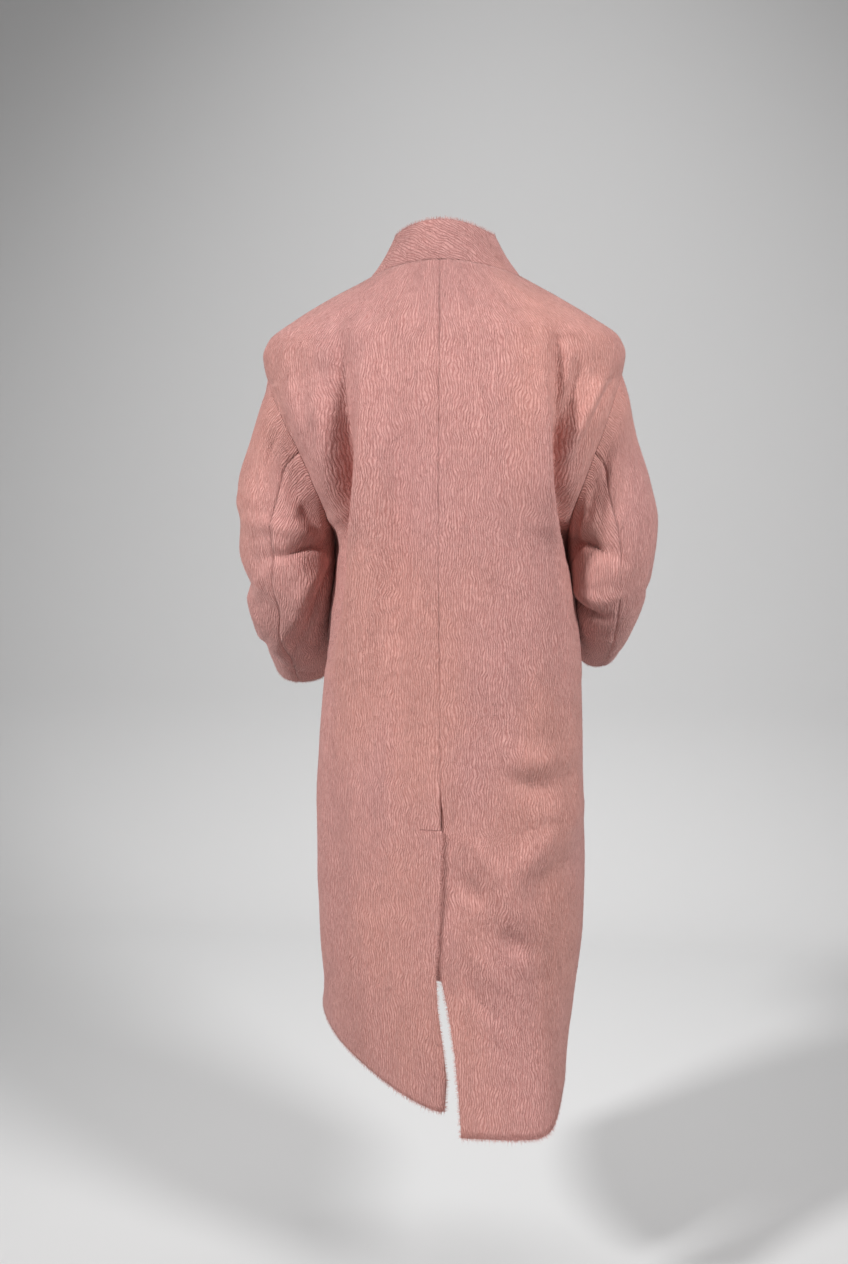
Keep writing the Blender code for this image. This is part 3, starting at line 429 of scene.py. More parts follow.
def outline(rings, levels, face, side, parts):
    """Outline of one face at each level: part 0 at its centre, 1 at its edge, below 0 past the centre."""
    edge = {1: rings["x_left"], -1: rings["x_right"]}
    narrow = rings["fore_in"] if face == "front" else 0.0
    own = (edge[side] - narrow)[:, None]
    other = (edge[-side] - narrow)[:, None]
    pushed = swing(levels) if face == "back" and side < 0 else np.zeros(len(levels))
    turn = np.radians(rings["turn"])[:, None]
    power = (rings["square"] - HEM_SQUARE * pushed)[:, None]
    if face == "back" and side > 0:
        power = power + LEFT_HEM_STRAIGHT * swing(levels)[:, None]
    angle = turn * np.abs(parts)[None, :]
    across = (np.sin(angle) / np.sin(turn)) ** power
    along = np.clip((np.cos(angle) - np.cos(turn)) / (1 - np.cos(turn)), 0, 1) ** power
    lift = (np.sin(angle) / np.sin(turn)) ** (rings["rise"] + RIGHT_HEM_FLAT * pushed)[:, None]
    y_edge = rings["y_hind" if face == "back" else "y_fore"][:, None]
    x_centre = rings["x_back"][:, None] if face == "back" else 0.0
    y_centre = (rings["y_" + face] + HEM_PUSH_BACK * pushed)[:, None]
    z_centre = (rings["z_" + face] - HEM_DROP * pushed)[:, None]
    x = np.where(parts[None, :] < 0, -side * other * across, side * own * across)
    x = x + x_centre * (1 - across)
    y = y_edge + (y_centre - y_edge) * along
    own_z = (rings["z_edge"] + side_lift(side) * swing(levels))[:, None]
    other_z = (rings["z_edge"] + side_lift(-side) * swing(levels))[:, None]
    z = z_centre + (np.where(parts[None, :] < 0, other_z, own_z) - z_centre) * lift
    return np.stack([x, y, z], axis=-1)


def first_edge(levels, face, side):
    """x of the piece's edge at the centre: the seam or vent at the back, the lap at the front."""
    if face == "front":
        lap = as_columns(LAP_COLUMNS, LAP)
        return -side * smooth_through(lap["level"], lap["reach"], levels)
    vent = as_columns(VENT_COLUMNS, VENT)
    seam = levels_at(LEVELS, levels)["x_back"]
    free = np.interp(levels, vent["level"], vent["left_edge" if side > 0 else "right_edge"])
    return np.where(levels < VENT_LEVEL - 1e-6, free, seam)


def crowded(cells):
    """Shares of a width, closer together near both of its edges."""
    even = np.linspace(0, 1, cells + 1)
    return even - CROWDING * np.sin(2 * np.pi * even) / (2 * np.pi)


def flat_points(rows, levels, cut_levels, face, side, cells):
    """Grid of points on the bare form: one row for each level, one column from centre edge to side."""
    rings = levels_at(rows, levels)
    parts = np.linspace(-1, 1, 2401)
    parts = 0.999999 * np.sign(parts) * np.abs(parts) ** 1.5
    parts[-1] = 1.0
    dense = outline(rings, cut_levels, face, side, parts)
    start_x = first_edge(cut_levels, face, side)
    share = crowded(cells)
    grid = np.empty((len(levels), cells + 1, 3))
    for row, curve in enumerate(dense):
        run = np.concatenate([[0], np.cumsum(np.linalg.norm(np.diff(curve, axis=0), axis=1))])
        start = np.interp(side * start_x[row], side * curve[:, 0], run)
        at = start + (run[-1] - start) * share
        grid[row] = np.stack([np.interp(at, run, curve[:, axis]) for axis in range(3)], axis=-1)
    return grid


def normals_of(grid, outward):
    """Normals of a grid, on the side that outward points to at most points."""
    along = np.gradient(grid, axis=0)
    across = np.gradient(grid, axis=1)
    found = unit(np.cross(across, along))
    return found if np.sum(found * outward) > 0 else -found


def fold_height(points, fold):
    """Height of one fold at each point, from its distance to the fold's path in x and z."""
    share = np.linspace(0, 1, 61)[:, None]
    up = np.array([fold["x_up"], fold["z_up"]])
    mid = np.array([fold["x_mid"], fold["z_mid"]])
    low = np.array([fold["x_low"], fold["z_low"]])
    pull = 2 * mid - (up + low) / 2
    path = (1 - share) ** 2 * up + 2 * share * (1 - share) * pull + share**2 * low
    place = points[..., [0, 2]]
    apart = place[..., None, :] - path
    distance = np.linalg.norm(apart, axis=-1)
    nearest = np.argmin(distance, axis=-1)
    close = np.take_along_axis(distance, nearest[..., None], -1)[..., 0]
    aside = np.take_along_axis(apart[..., 0], nearest[..., None], -1)[..., 0]
    blend = ramp(aside, -0.004, 0.004)
    width = fold["width_in"] * (1 - blend) + fold["width_out"] * blend
    taper = np.sin(np.pi * np.clip(share[nearest, 0] * 0.88 + 0.06, 0, 1)) ** 0.9
    return fold["depth"] * taper * np.exp(-((close / width) ** 2))


def soft_noise(points, size, seed):
    """Smooth noise between -1 and 1 with lumps of the given size."""
    lattice = np.random.default_rng(seed).uniform(-1, 1, (32, 32, 32))
    place = points / size
    whole = np.floor(place).astype(int)
    part = place - whole
    part = part * part * (3 - 2 * part)
    total = np.zeros(points.shape[:-1])
    for corner in np.ndindex(2, 2, 2):
        spot = (whole + corner) % 32
        weight = np.prod(np.where(np.array(corner) == 1, part, 1 - part), axis=-1)
        total += lattice[spot[..., 0], spot[..., 1], spot[..., 2]] * weight
    return total


def ripple(points):
    """The thick cloth's loose ripple at each point."""
    return sum(depth * soft_noise(points, size, 3) for size, depth in RIPPLES)


def edge_runs(grid):
    """Distance along each row from its first and from its last column."""
    steps = np.linalg.norm(np.diff(grid, axis=1), axis=-1)
    run = np.concatenate([np.zeros((len(grid), 1)), np.cumsum(steps, axis=1)], axis=1)
    return run, run[:, -1:] - run


def seam_dip(distance):
    """Depth that a seam draws the cloth in by, this far from it."""
    return -SEAM_DIP * np.exp(-((distance / SEAM_DIP_WIDTH) ** 2))


def body_heights(points, levels, face, side):
    """How far each point stands out of the bare form: folds, less the tuck of an under layer."""
    heights = np.zeros(points.shape[:2])
    for row in BODY_FOLDS + BODY_CREASES:
        fold = dict(zip(BODY_FOLD_COLUMNS, row))
        if fold["face"] == face:
            heights += fold_height(points, fold)
    share = crowded(points.shape[1] - 1)[None, :]
    heights += ripple(points) * ramp(share, 0.0, 0.06)
    heights *= ramp(1 - share, 0.0, 0.09)
    level = levels[:, None]
    from_centre, from_side = edge_runs(points)
    heights += seam_dip(from_side)
    if face == "back":
        heights += seam_dip(from_centre) * (level >= VENT_LEVEL - 1e-6)
    return heights - under_tuck(points, level, face, side) * (WALL + LAP_GAP)


def under_tuck(points, level, face, side):
    """1 where a piece lies under the one that laps over it, 0 elsewhere."""
    if face == "front" and side > 0:
        reach = -first_edge(level[:, 0], "front", 1)[:, None]
        clear = np.minimum(reach + 0.040, 0.90 * points[:, -1:, 0])
        return 1 - ramp(points[..., 0], reach + 0.006, clear)
    if face == "back" and side < 0:
        beside = ramp(points[..., 0], -0.055, -0.022)
        return beside * (1 - ramp(level, VENT_LEVEL + 0.05, VENT_LEVEL + 0.7)) * ramp(level, 0.9, 1.55)
    return np.zeros(points.shape[:2])


def lean(normal, own):
    """The through-thickness direction that both pieces of a seam share, long enough for an even wall."""
    facing = np.maximum(np.sum(normal * own, axis=-1, keepdims=True), 0.62)
    return normal / facing


def pull_in(outer, inner, normals):
    """Draws the four edges of a piece in by half the seam gap."""
    shift = np.zeros_like(outer)
    edges = (np.s_[0], np.s_[-1], np.s_[:, 0], np.s_[:, -1])
    besides = (np.s_[1], np.s_[-2], np.s_[:, 1], np.s_[:, -2])
    for edge, beside in zip(edges, besides):
        tangent = unit(np.gradient(outer[edge], axis=0))
        inward = unit(np.cross(normals[edge], tangent))
        sign = np.sign(np.sum(inward * (outer[beside] - outer[edge])))
        shift[edge] += inward * sign * SEAM_GAP * 0.55
    return outer + shift, inner + shift


def shell(name, outer, through, normals, grain, node):
    """A closed wall of cloth: the brushed face outside, the plain reverse inside. It replaces its solid."""
    outer, inner = pull_in(outer, outer - WALL * through, normals)
    rows, columns = outer.shape[:2]
    index = np.arange(rows * columns).reshape(rows, columns)
    a, b, c, d = index[:-1, :-1], index[:-1, 1:], index[1:, 1:], index[1:, :-1]
    front = np.stack([a, b, c, d], axis=-1).reshape(-1, 4)
    side = np.cross(outer[0, 1] - outer[0, 0], outer[1, 0] - outer[0, 0])
    turned = np.dot(side, normals[0, 0]) < 0
    if turned:
        front = front[:, ::-1]
    count = rows * columns
    border = np.concatenate([index[0, :-1], index[:-1, -1], index[-1, :0:-1], index[:0:-1, 0]])
    ahead = np.roll(border, -1)
    rim = np.stack([ahead, border, border + count, ahead + count], axis=-1)
    if turned:
        rim = rim[:, ::-1]
    faces = np.concatenate([front, front[:, ::-1] + count, rim])
    points = tilted(np.concatenate([outer.reshape(-1, 3), inner.reshape(-1, 3)]))
    made = mesh_object(name, points, faces.tolist())
    made.data.materials.append(MATERIALS["cloth_" + ("back" if node.startswith("back") else "plain")])
    made.data.materials.append(MATERIALS["cloth_reverse"])
    slots = np.zeros(len(faces), np.int32)
    slots[len(front):2 * len(front)] = 1
    made.data.polygons.foreach_set("material_index", slots)
    store_grain(made.data, np.concatenate([grain.reshape(-1, 2)] * 2))
    widths, _ = edge_runs(outer)
    lengths, _ = edge_runs(outer.transpose(1, 0, 2))
    width = float(widths[:, -1].max())
    length = float(lengths[:, -1].max())
    area = min(surface_area(outer), width * length)
    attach(made, "root")
    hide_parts(node)
    SHEETS.append((made, (width, length), area))
    return made


def surface_area(grid):
    """Area of a grid's surface."""
    one = np.cross(grid[:-1, 1:] - grid[:-1, :-1], grid[1:, :-1] - grid[:-1, :-1])
    two = np.cross(grid[1:, :-1] - grid[1:, 1:], grid[:-1, 1:] - grid[1:, 1:])
    return float(np.linalg.norm(one, axis=-1).sum() + np.linalg.norm(two, axis=-1).sum()) / 2


def mesh_object(name, points, faces):
    """A smooth-shaded mesh object at the origin, in the scene."""
    mesh = bpy.data.meshes.new(name)
    mesh.from_pydata([tuple(point) for point in points], [], faces)
    mesh.validate()
    mesh.shade_smooth()
    made = bpy.data.objects.new(name, mesh)
    bpy.context.scene.collection.objects.link(made)
    return made


def store_grain(mesh, places):
    """Writes each point's place on the flat cloth, in metres, as the mesh's UV map."""
    layer = mesh.uv_layers.new(name="grain")
    corners = np.empty(len(mesh.loops), np.int32)
    mesh.loops.foreach_get("vertex_index", corners)
    layer.data.foreach_set("uv", places[corners].astype(np.float32).ravel())


def average(*groups):
    """Unit mean of several sets of normals."""
    return unit(sum(groups))


def seam_directions(first, second, onward):
    """Directions through two pieces at their seam: mitred on a ridge, square to each in a valley."""
    shared = average(first, second)
    valley = np.sum(first * onward, axis=-1, keepdims=True) > 0.0
    return np.where(valley, first, shared), np.where(valley, second, shared)


def body_pieces(levels):
    """Outer points, normals and grain of the four body pieces, with shared normals along their seams."""
    pieces = {}
    for face, cells in (("back", BACK_CELLS), ("front", FRONT_CELLS)):
        for side in (1, -1):
            bare = flat_points(LEVELS, levels, levels, face, side, cells)
            outward = bare * np.array([1, 1, 0]) + np.array([0, 0, 0.02])
            pieces[face, side] = {"bare": bare, "normals": normals_of(bare, outward), "outward": outward}
    seamed = (levels <= ARMPIT_LEVEL + 1e-6) | (levels >= ARM_TOP_LEVEL - 1e-6)
    closed = levels >= VENT_LEVEL - 1e-6
    share_normals(pieces, seamed, closed)
    for (face, side), piece in pieces.items():
        piece["bare_normals"] = piece["normals"]
        heights = body_heights(piece["bare"], levels, face, side)
        piece["points"] = piece["bare"] + piece["normals"] * heights[..., None]
        piece["normals"] = normals_of(piece["points"], piece["outward"])
        piece["own"] = piece["normals"].copy()
        piece["grain"] = body_grain(piece["bare"], levels, face, side)
    share_normals(pieces, seamed, closed)
    for side in (1, -1):
        pieces["back", side]["normals"][closed, 0] = pieces["back", side]["bare_normals"][closed, 0]
    return pieces


def body_grain(bare, levels, face, side):
    """Place on the flat cloth: out from the centre line, and up from the level of the vent's top."""
    run, _ = edge_runs(bare)
    centre = levels_at(LEVELS, levels)["x_back"] if face == "back" else 0.0
    start = side * (first_edge(levels, face, side) - centre)
    across = run + start[:, None]
    top = np.flatnonzero(levels >= ARM_TOP_LEVEL - 1e-6)
    widest = across[top[0]]
    fade = ramp(levels[top], ARM_TOP_LEVEL, ARM_TOP_LEVEL + 2.0)[:, None]
    across[top] = across[top] * (1 - fade) + widest[None, :] * fade
    steps = np.linalg.norm(np.diff(bare, axis=0), axis=-1)
    up = np.concatenate([np.zeros((1, bare.shape[1])), np.cumsum(steps, axis=0)])
    vent = np.argmin(np.abs(levels - VENT_LEVEL))
    if face == "front":
        across = across + FRONT_GRAIN_AT
    return np.stack([side * across, up - up[vent]], axis=-1)


def share_normals(pieces, seamed, closed):
    """Gives both pieces of each body seam the same normals."""
    for side in (1, -1):
        back = pieces["back", side]["normals"]
        front = pieces["front", side]["normals"]
        shared = average(back[seamed, -1], front[seamed, -1])
        back[seamed, -1] = shared
        front[seamed, -1] = shared
    left = pieces["back", 1]["normals"]
    right = pieces["back", -1]["normals"]
    shared = average(left[closed, 0], right[closed, 0])
    left[closed, 0] = shared
    right[closed, 0] = shared


def armhole_loop(pieces, levels, side):
    """Armhole edge from its top down the back to the armpit and up the front, as points and normals."""
    inside = (levels >= ARMPIT_LEVEL - 1e-6) & (levels <= ARM_TOP_LEVEL + 1e-6)
    back = pieces["back", side]
    front = pieces["front", side]
    down = back["points"][inside, -1][::-1]
    up = front["points"][inside, -1][1:]
    down_normals = back["normals"][inside, -1][::-1]
    up_normals = front["normals"][inside, -1][1:]
    return np.concatenate([down, up]), np.concatenate([down_normals, up_normals])


def sleeve_points(loop, rings, side, cells):
    """Grid of the bare sleeve: one row for each ring from armhole to cuff, columns round the sleeve."""
    table = as_columns(RING_COLUMNS, rings)
    run = np.concatenate([[0], np.cumsum(np.linalg.norm(np.diff(loop, axis=0), axis=1))])
    half = (len(loop) - 1) // 2
    turn = np.concatenate([
        np.pi * run[:half] / run[half],
        np.pi + np.pi * (run[half:] - run[half]) / (run[-1] - run[half]),
    ])
    knots = [loop]
    for place in range(len(rings)):
        ring = {name: column[place] for name, column in table.items()}
        tip = np.array([side * ring["x_out"], ring["y_mid"], ring["z_out"]])
        base = np.array([side * ring["x_in"], ring["y_mid"], ring["z_in"]])
        tilt = math.radians(ring["lean"])
        hind = np.array([0.0, math.cos(tilt), -math.sin(tilt)]) * ring["depth"]
        across = np.sign(np.cos(turn)) * np.abs(np.cos(turn)) ** 0.9
        behind = np.sign(np.sin(turn)) * np.abs(np.sin(turn)) ** 0.9
        knots.append((tip + base) / 2 + (tip - base) / 2 * across[:, None] + hind * behind[:, None])
    at = np.linspace(0, len(rings), cells + 1)
    return smooth_through(np.arange(len(knots)), np.stack(knots), at), turn, at


def sleeve_fold_heights(grid, turn, at, folds):
    """Heights of the sleeve's folds at each point of its grid, by distance from each fold's path."""
    heights = np.zeros(grid.shape[:2])
    degrees = np.degrees(turn)
    share = np.linspace(0, 1, 33)
    for row in folds:
        fold = dict(zip(SLEEVE_FOLD_COLUMNS, row))
        path_turn = bend(fold["turn_a"], fold["turn_mid"], fold["turn_b"], share) % 360
        path_ring = bend(fold["ring_a"], fold["ring_mid"], fold["ring_b"], share)
        column = np.interp(path_turn, degrees, np.arange(len(degrees)))
        line = np.interp(path_ring, at, np.arange(len(at)))
        path = grid_lookup(grid, line, column)
        distance = np.linalg.norm(grid[:, :, None, :] - path, axis=-1)
        nearest = np.argmin(distance, axis=-1)
        taper = np.sin(np.pi * np.clip(share[nearest] * 0.86 + 0.07, 0, 1)) ** 0.7
        heights += fold["depth"] * taper * np.exp(-((distance.min(axis=-1) / fold["width"]) ** 2))
    return heights * ramp(at, 0.0, 0.8)[:, None]


def bend(start, middle, end, share):
    """Curve through three values."""
    pull = 2 * middle - (start + end) / 2
    return (1 - share) ** 2 * start + 2 * share * (1 - share) * pull + share**2 * end


def grid_lookup(grid, line, column):
    """Points of a grid at fractional rows and columns."""
    top = np.clip(line.astype(int), 0, grid.shape[0] - 2)
    left = np.clip(column.astype(int), 0, grid.shape[1] - 2)
    down = (line - top)[:, None]
    over = (column - left)[:, None]
    upper = grid[top, left] * (1 - over) + grid[top, left + 1] * over
    lower = grid[top + 1, left] * (1 - over) + grid[top + 1, left + 1] * over
    return upper * (1 - down) + lower * down


def wrapped_normals(grid, outward):
    """Normals of a grid that closes on itself across its columns."""
    ring = np.concatenate([grid[:, -2:-1], grid, grid[:, 1:2]], axis=1)
    wide = np.concatenate([outward[:, -2:-1], outward, outward[:, 1:2]], axis=1)
    return normals_of(ring, wide)[:, 1:-1]


def rest_on_body(grid, pieces, side, at):
    """The sleeve's grid, with each point that would sink into the body moved out to just clear of it."""
    faces = [pieces[face, side] for face in ("back", "front")]
    points = np.concatenate([face["points"].reshape(-1, 3) for face in faces])
    outward = np.concatenate([face["normals"].reshape(-1, 3) for face in faces])
    tree = KDTree(len(points))
    for place, point in enumerate(points):
        tree.insert(point, place)
    tree.balance()
    flat = grid.reshape(-1, 3)
    nearest = np.array([tree.find(point)[1] for point in flat])
    outward = outward[nearest]
    offset = flat - points[nearest]
    height = (offset * outward).sum(axis=1)
    aside = np.linalg.norm(offset - outward * height[:, None], axis=1)
    sunk = np.clip(SLEEVE_CLEAR - height, 0, None) * (aside < SLEEVE_CLEAR_REACH)
    sunk = sunk.reshape(grid.shape[:2]) * ramp(at, *SLEEVE_CLEAR_RINGS)[:, None]
    return grid + outward.reshape(grid.shape) * sunk[..., None]


def sleeve(pieces, levels, side, rings, folds):
    """The two-piece sleeve, set into the armhole. It gives the armhole's edges their shared normals."""
    loop, loop_normals = armhole_loop(pieces, levels, side)
    grid, turn, at = sleeve_points(loop, rings, side, SLEEVE_CELLS)
    outward = grid - grid[:, :-1].mean(axis=1, keepdims=True)
    normals = wrapped_normals(grid, outward)
    hind = round(HIND_SEAM_PART * ARMHOLE_CELLS)
    fore = 2 * ARMHOLE_CELLS - round(FORE_SEAM_PART * ARMHOLE_CELLS)
    heights = sleeve_fold_heights(grid, turn, at, folds)
    heights += ripple(grid) * ramp(at, 0.0, 0.8)[:, None]
    run, _ = edge_runs(grid)
    for seam in (hind, fore):
        heights += seam_dip(run - run[:, seam:seam + 1]) * ramp(at, 0.0, 0.3)[:, None]
    grid = rest_on_body(grid + normals * heights[..., None], pieces, side, at)
    normals = wrapped_normals(grid, outward)
    own = normals.copy()
    body_side, sleeve_side = seam_directions(loop_normals, normals[0], unit(grid[1] - grid[0]))
    normals[0] = sleeve_side
    inside = np.flatnonzero((levels >= ARMPIT_LEVEL - 1e-6) & (levels <= ARM_TOP_LEVEL + 1e-6))
    pieces["back", side]["normals"][inside[::-1], -1] = body_side[: len(inside)]
    pieces["front", side]["normals"][inside, -1] = body_side[len(inside) - 1:]
    wrap = np.arange(2 * ARMHOLE_CELLS + 1)
    under = wrap[hind:fore + 1]
    upper = np.concatenate([wrap[fore:], wrap[1:hind + 1]])
    word = "left" if side > 0 else "right"
    for name, keep in (("top_sleeve_", upper), ("under_sleeve_", under)):
        through = lean(normals[:, keep], own[:, keep])
        part = grid[:, keep]
        grain = centred_grain(part, SLEEVE_GRAIN_AT[name + word])
        shell("cloth_" + name + word, part, through, own[:, keep], grain, name + word)
        LAYERS[name + word] = {"points": part, "own": own[:, keep], "grain": grain, "down": 1}


def centred_grain(part, start):
    """Place on the flat cloth of a sleeve piece: out from its middle, and down from its head."""
    run, _ = edge_runs(part)
    steps = np.linalg.norm(np.diff(part, axis=0), axis=-1)
    down = np.concatenate([np.zeros((1, part.shape[1])), np.cumsum(steps, axis=0)])
    middle = down[:, part.shape[1] // 2][:, None]
    return np.stack([run - run[:, -1:] / 2 + start, down * 0.3 + middle * 0.7], axis=-1)


NECK_ORDER = (("front", 1, False), ("back", 1, True), ("back", -1, False), ("front", -1, True))


def collar(pieces):
    """The stand collar, one piece from the inner front's edge round the neck to the outer front's edge."""
    at = np.linspace(0, len(COLLAR_LEVELS) - 1, COLLAR_CELLS + 1)
    cut = np.full(len(at), float(NECK_LEVEL))
    grids = []
    body_normals = []
    tucks = []
    for face, side, turned in NECK_ORDER:
        cells = FRONT_CELLS if face == "front" else BACK_CELLS
        bare = flat_points(COLLAR_LEVELS, at, cut, face, side, cells)
        outward = bare * np.array([1, 1, 0])
        tuck = under_tuck(bare, cut[:, None], face, side) if face == "front" else np.zeros(bare.shape[:2])
        lift = ripple(bare) * 0.6 * ramp(at, 0.0, 0.6)[:, None] - tuck * (WALL + LAP_GAP)
        made = bare + normals_of(bare, outward) * lift[..., None]
        made[0] = pieces[face, side]["points"][-1]
        edge = pieces[face, side]["normals"][-1]
        grids.append(made[:, ::-1] if turned else made)
        tucks.append(tuck[:, ::-1] if turned else tuck)
        body_normals.append(edge[::-1] if turned else edge)
    grid = np.concatenate([grids[0]] + [part[:, 1:] for part in grids[1:]], axis=1)
    tuck = np.concatenate([tucks[0]] + [part[:, 1:] for part in tucks[1:]], axis=1)
    edge = np.concatenate([body_normals[0]] + [part[1:] for part in body_normals[1:]])
    own = normals_of(grid, grid * np.array([1, 1, 0]))
    normals = own.copy()
    body_side, normals[0] = seam_directions(edge, own[0], unit(grid[1] - grid[0]))
    place = 0
    for face, side, turned in NECK_ORDER:
        count = pieces[face, side]["points"].shape[1]
        shared = body_side[place:place + count]
        pieces[face, side]["normals"][-1] = shared[::-1] if turned else shared
        place += count - 1
    run, _ = edge_runs(grid)
    steps = np.linalg.norm(np.diff(grid, axis=0), axis=-1)
    up = np.concatenate([np.zeros((1, grid.shape[1])), np.cumsum(steps, axis=0)])
    slant = math.radians(COLLAR_NAP_SLANT)
    across = run - run[:, -1:] / 2
    grain = np.stack([
        up * math.cos(slant) + across * math.sin(slant) + COLLAR_GRAIN_AT,
        across * math.cos(slant) - up * math.sin(slant),
    ], axis=-1)
    shell("cloth_collar", grid, lean(normals, own), own, grain, "collar")
    LAYERS["collar"] = {"points": grid, "own": own, "grain": grain, "down": -1, "cover": 1 - tuck}


# Finishes
NAP_DARK = (0.400, 0.158, 0.142, 1.0)
NAP_LIGHT = (0.730, 0.395, 0.360, 1.0)
NAP_PEACH = (0.640, 0.300, 0.215, 1.0)
NAP_MAUVE = (0.520, 0.270, 0.262, 1.0)
REVERSE_DARK = (0.300, 0.125, 0.115, 1.0)
REVERSE_LIGHT = (0.440, 0.210, 0.195, 1.0)
# Painted shade: the colour that darkens the back's centre seam and the top of its vent, where the seam's
# groove is shaded
SEAM_PAINTED_SHADE = (0.230, 0.085, 0.075, 1.0)
THREAD_TONE = (0.560, 0.270, 0.245, 1.0)
HORN_DARK = (0.050, 0.018, 0.018, 1.0)
HORN_LIGHT = (0.200, 0.090, 0.080, 1.0)
COLLAR_NAP_SLANT = 28

# Locks of the nap: width, length and waver in metres, and wander in lock widths
LOCK_WIDTH = 0.0033
LOCK_LENGTH = 0.0190
LOCK_WAVER = 0.0150
LOCK_WANDER = 1.35

MATERIALS = {}
LAYERS = {}
SHEETS = []


def place(tree, kind, **settings):
    """A new node with its settings."""
    made = tree.nodes.new(kind)
    for name, value in settings.items():
        setattr(made, name, value)
    return made


def join(tree, source, target):
    """Feeds a number, a vector or another node's socket into a socket."""
    if isinstance(source, bpy.types.NodeSocket):
        tree.links.new(source, target)
    else:
        target.default_value = source


def work(tree, operation, *values):
    """A Math node on these values."""
    made = place(tree, "ShaderNodeMath", operation=operation)
    for value, target in zip(values, made.inputs):
        join(tree, value, target)
    return made.outputs[0]


def vector_work(tree, operation, *values):
    """A Vector Math node on these values."""
    made = place(tree, "ShaderNodeVectorMath", operation=operation)
    for value, target in zip(values, made.inputs):
        join(tree, value, target)
    return made.outputs[0]


def noise(tree, vector, scale, detail, roughness, dimensions="3D", distortion=0.0):
    """A Noise Texture node."""
    made = place(tree, "ShaderNodeTexNoise", noise_dimensions=dimensions)
    join(tree, vector, made.inputs["Vector"])
    join(tree, scale, made.inputs["Scale"])
    join(tree, detail, made.inputs["Detail"])
    join(tree, roughness, made.inputs["Roughness"])
    join(tree, distortion, made.inputs["Distortion"])
    return made


def spread(tree, value, low, high, to_low=0.0, to_high=1.0):
    """A value stretched from one range to another, smooth at both ends."""
    made = place(tree, "ShaderNodeMapRange", interpolation_type="SMOOTHSTEP")
    for source, name in ((value, "Value"), (low, "From Min"), (high, "From Max"),
                         (to_low, "To Min"), (to_high, "To Max")):
        join(tree, source, made.inputs[name])
    return made.outputs["Result"]


def blend_colours(tree, share, first, second):
    """A mix of two colours."""
    made = place(tree, "ShaderNodeMix", data_type="RGBA")
    join(tree, share, made.inputs["Factor"])
    join(tree, first, made.inputs["A"])
    join(tree, second, made.inputs["B"])
    return made.outputs["Result"]


def new_group(name, kind, inputs, outputs):
    """A node group with named inputs, each with its socket type and default, and named outputs."""
    tree = bpy.data.node_groups.new(name, kind)
    for label, socket_type, default in inputs:
        made = tree.interface.new_socket(label, in_out="INPUT", socket_type=socket_type)
        if default is not None:
            made.default_value = default
    for label, socket_type in outputs:
        tree.interface.new_socket(label, in_out="OUTPUT", socket_type=socket_type)
    return tree, place(tree, "NodeGroupInput"), place(tree, "NodeGroupOutput")


def nap_group():
    """Wavy locks of brushed nap that run along the grain, parted by thin dark lines."""
    tree, given, put = new_group(
        "brushed nap", "ShaderNodeTree",
        [("Grain", "NodeSocketVector", None), ("Lock Width", "NodeSocketFloat", LOCK_WIDTH),
         ("Lock Length", "NodeSocketFloat", LOCK_LENGTH), ("Waver", "NodeSocketFloat", LOCK_WAVER)],
        [("Tone", "NodeSocketFloat"), ("Height", "NodeSocketFloat")],
    )
    flat = vector_work(tree, "MULTIPLY", given.outputs["Grain"], (1.0, 1.0, 0.0))
    broad = noise(tree, flat, 21.0, 1.0, 0.5, "2D")
    centred = vector_work(tree, "SUBTRACT", broad.outputs["Color"], (0.5, 0.5, 0.5))
    sway = place(tree, "ShaderNodeVectorMath", operation="SCALE")
    join(tree, centred, sway.inputs[0])
    join(tree, given.outputs["Waver"], sway.inputs["Scale"])
    small = noise(tree, flat, 85.0, 1.0, 0.5, "2D")
    jitter = vector_work(tree, "SUBTRACT", small.outputs["Color"], (0.5, 0.5, 0.5))
    jitter = vector_work(tree, "MULTIPLY", jitter, (0.0022, 0.0020, 0.0))
    moved = vector_work(tree, "ADD", flat, sway.outputs[0])
    moved = vector_work(tree, "ADD", moved, jitter)
    parts = place(tree, "ShaderNodeSeparateXYZ")
    join(tree, moved, parts.inputs[0])
    drawn = place(tree, "ShaderNodeCombineXYZ")
    join(tree, work(tree, "DIVIDE", parts.outputs["X"], given.outputs["Lock Width"]), drawn.inputs["X"])
    join(tree, work(tree, "DIVIDE", parts.outputs["Y"], given.outputs["Lock Length"]), drawn.inputs["Y"])
    slow = vector_work(tree, "MULTIPLY", drawn.outputs[0], (0.42, 0.95, 1.0))
    wander = noise(tree, slow, 1.0, 1.0, 0.5, "2D")
    phase = work(tree, "ADD", work(tree, "MULTIPLY", wander.outputs["Fac"], LOCK_WANDER),
                 work(tree, "DIVIDE", parts.outputs["X"], given.outputs["Lock Width"]))
    ridge = work(tree, "SINE", work(tree, "MULTIPLY", phase, 2 * math.pi))
    other = noise(tree, vector_work(tree, "MULTIPLY", drawn.outputs[0], (1.2, 2.2, 1.0)), 1.0, 1.0, 0.5, "2D")
    fibre = noise(tree, drawn.outputs[0], 4.0, 1.0, 0.5, "2D")
    parted = spread(tree, ridge, -1.0, 0.25, 0.16, 1.0)
    crossed = spread(tree, other.outputs["Fac"], 0.34, 0.56)
    locks = work(tree, "MULTIPLY", parted, work(tree, "ADD", work(tree, "MULTIPLY", crossed, 0.42), 0.58))
    fibres = spread(tree, fibre.outputs["Fac"], 0.30, 0.70)
    tone = work(tree, "ADD", work(tree, "MULTIPLY", locks, 0.76), work(tree, "MULTIPLY", fibres, 0.24))
    join(tree, tone, put.inputs["Tone"])
    height = work(tree, "ADD", work(tree, "MULTIPLY", locks, 0.85), work(tree, "MULTIPLY", fibres, 0.15))
    join(tree, height, put.inputs["Height"])
    return tree


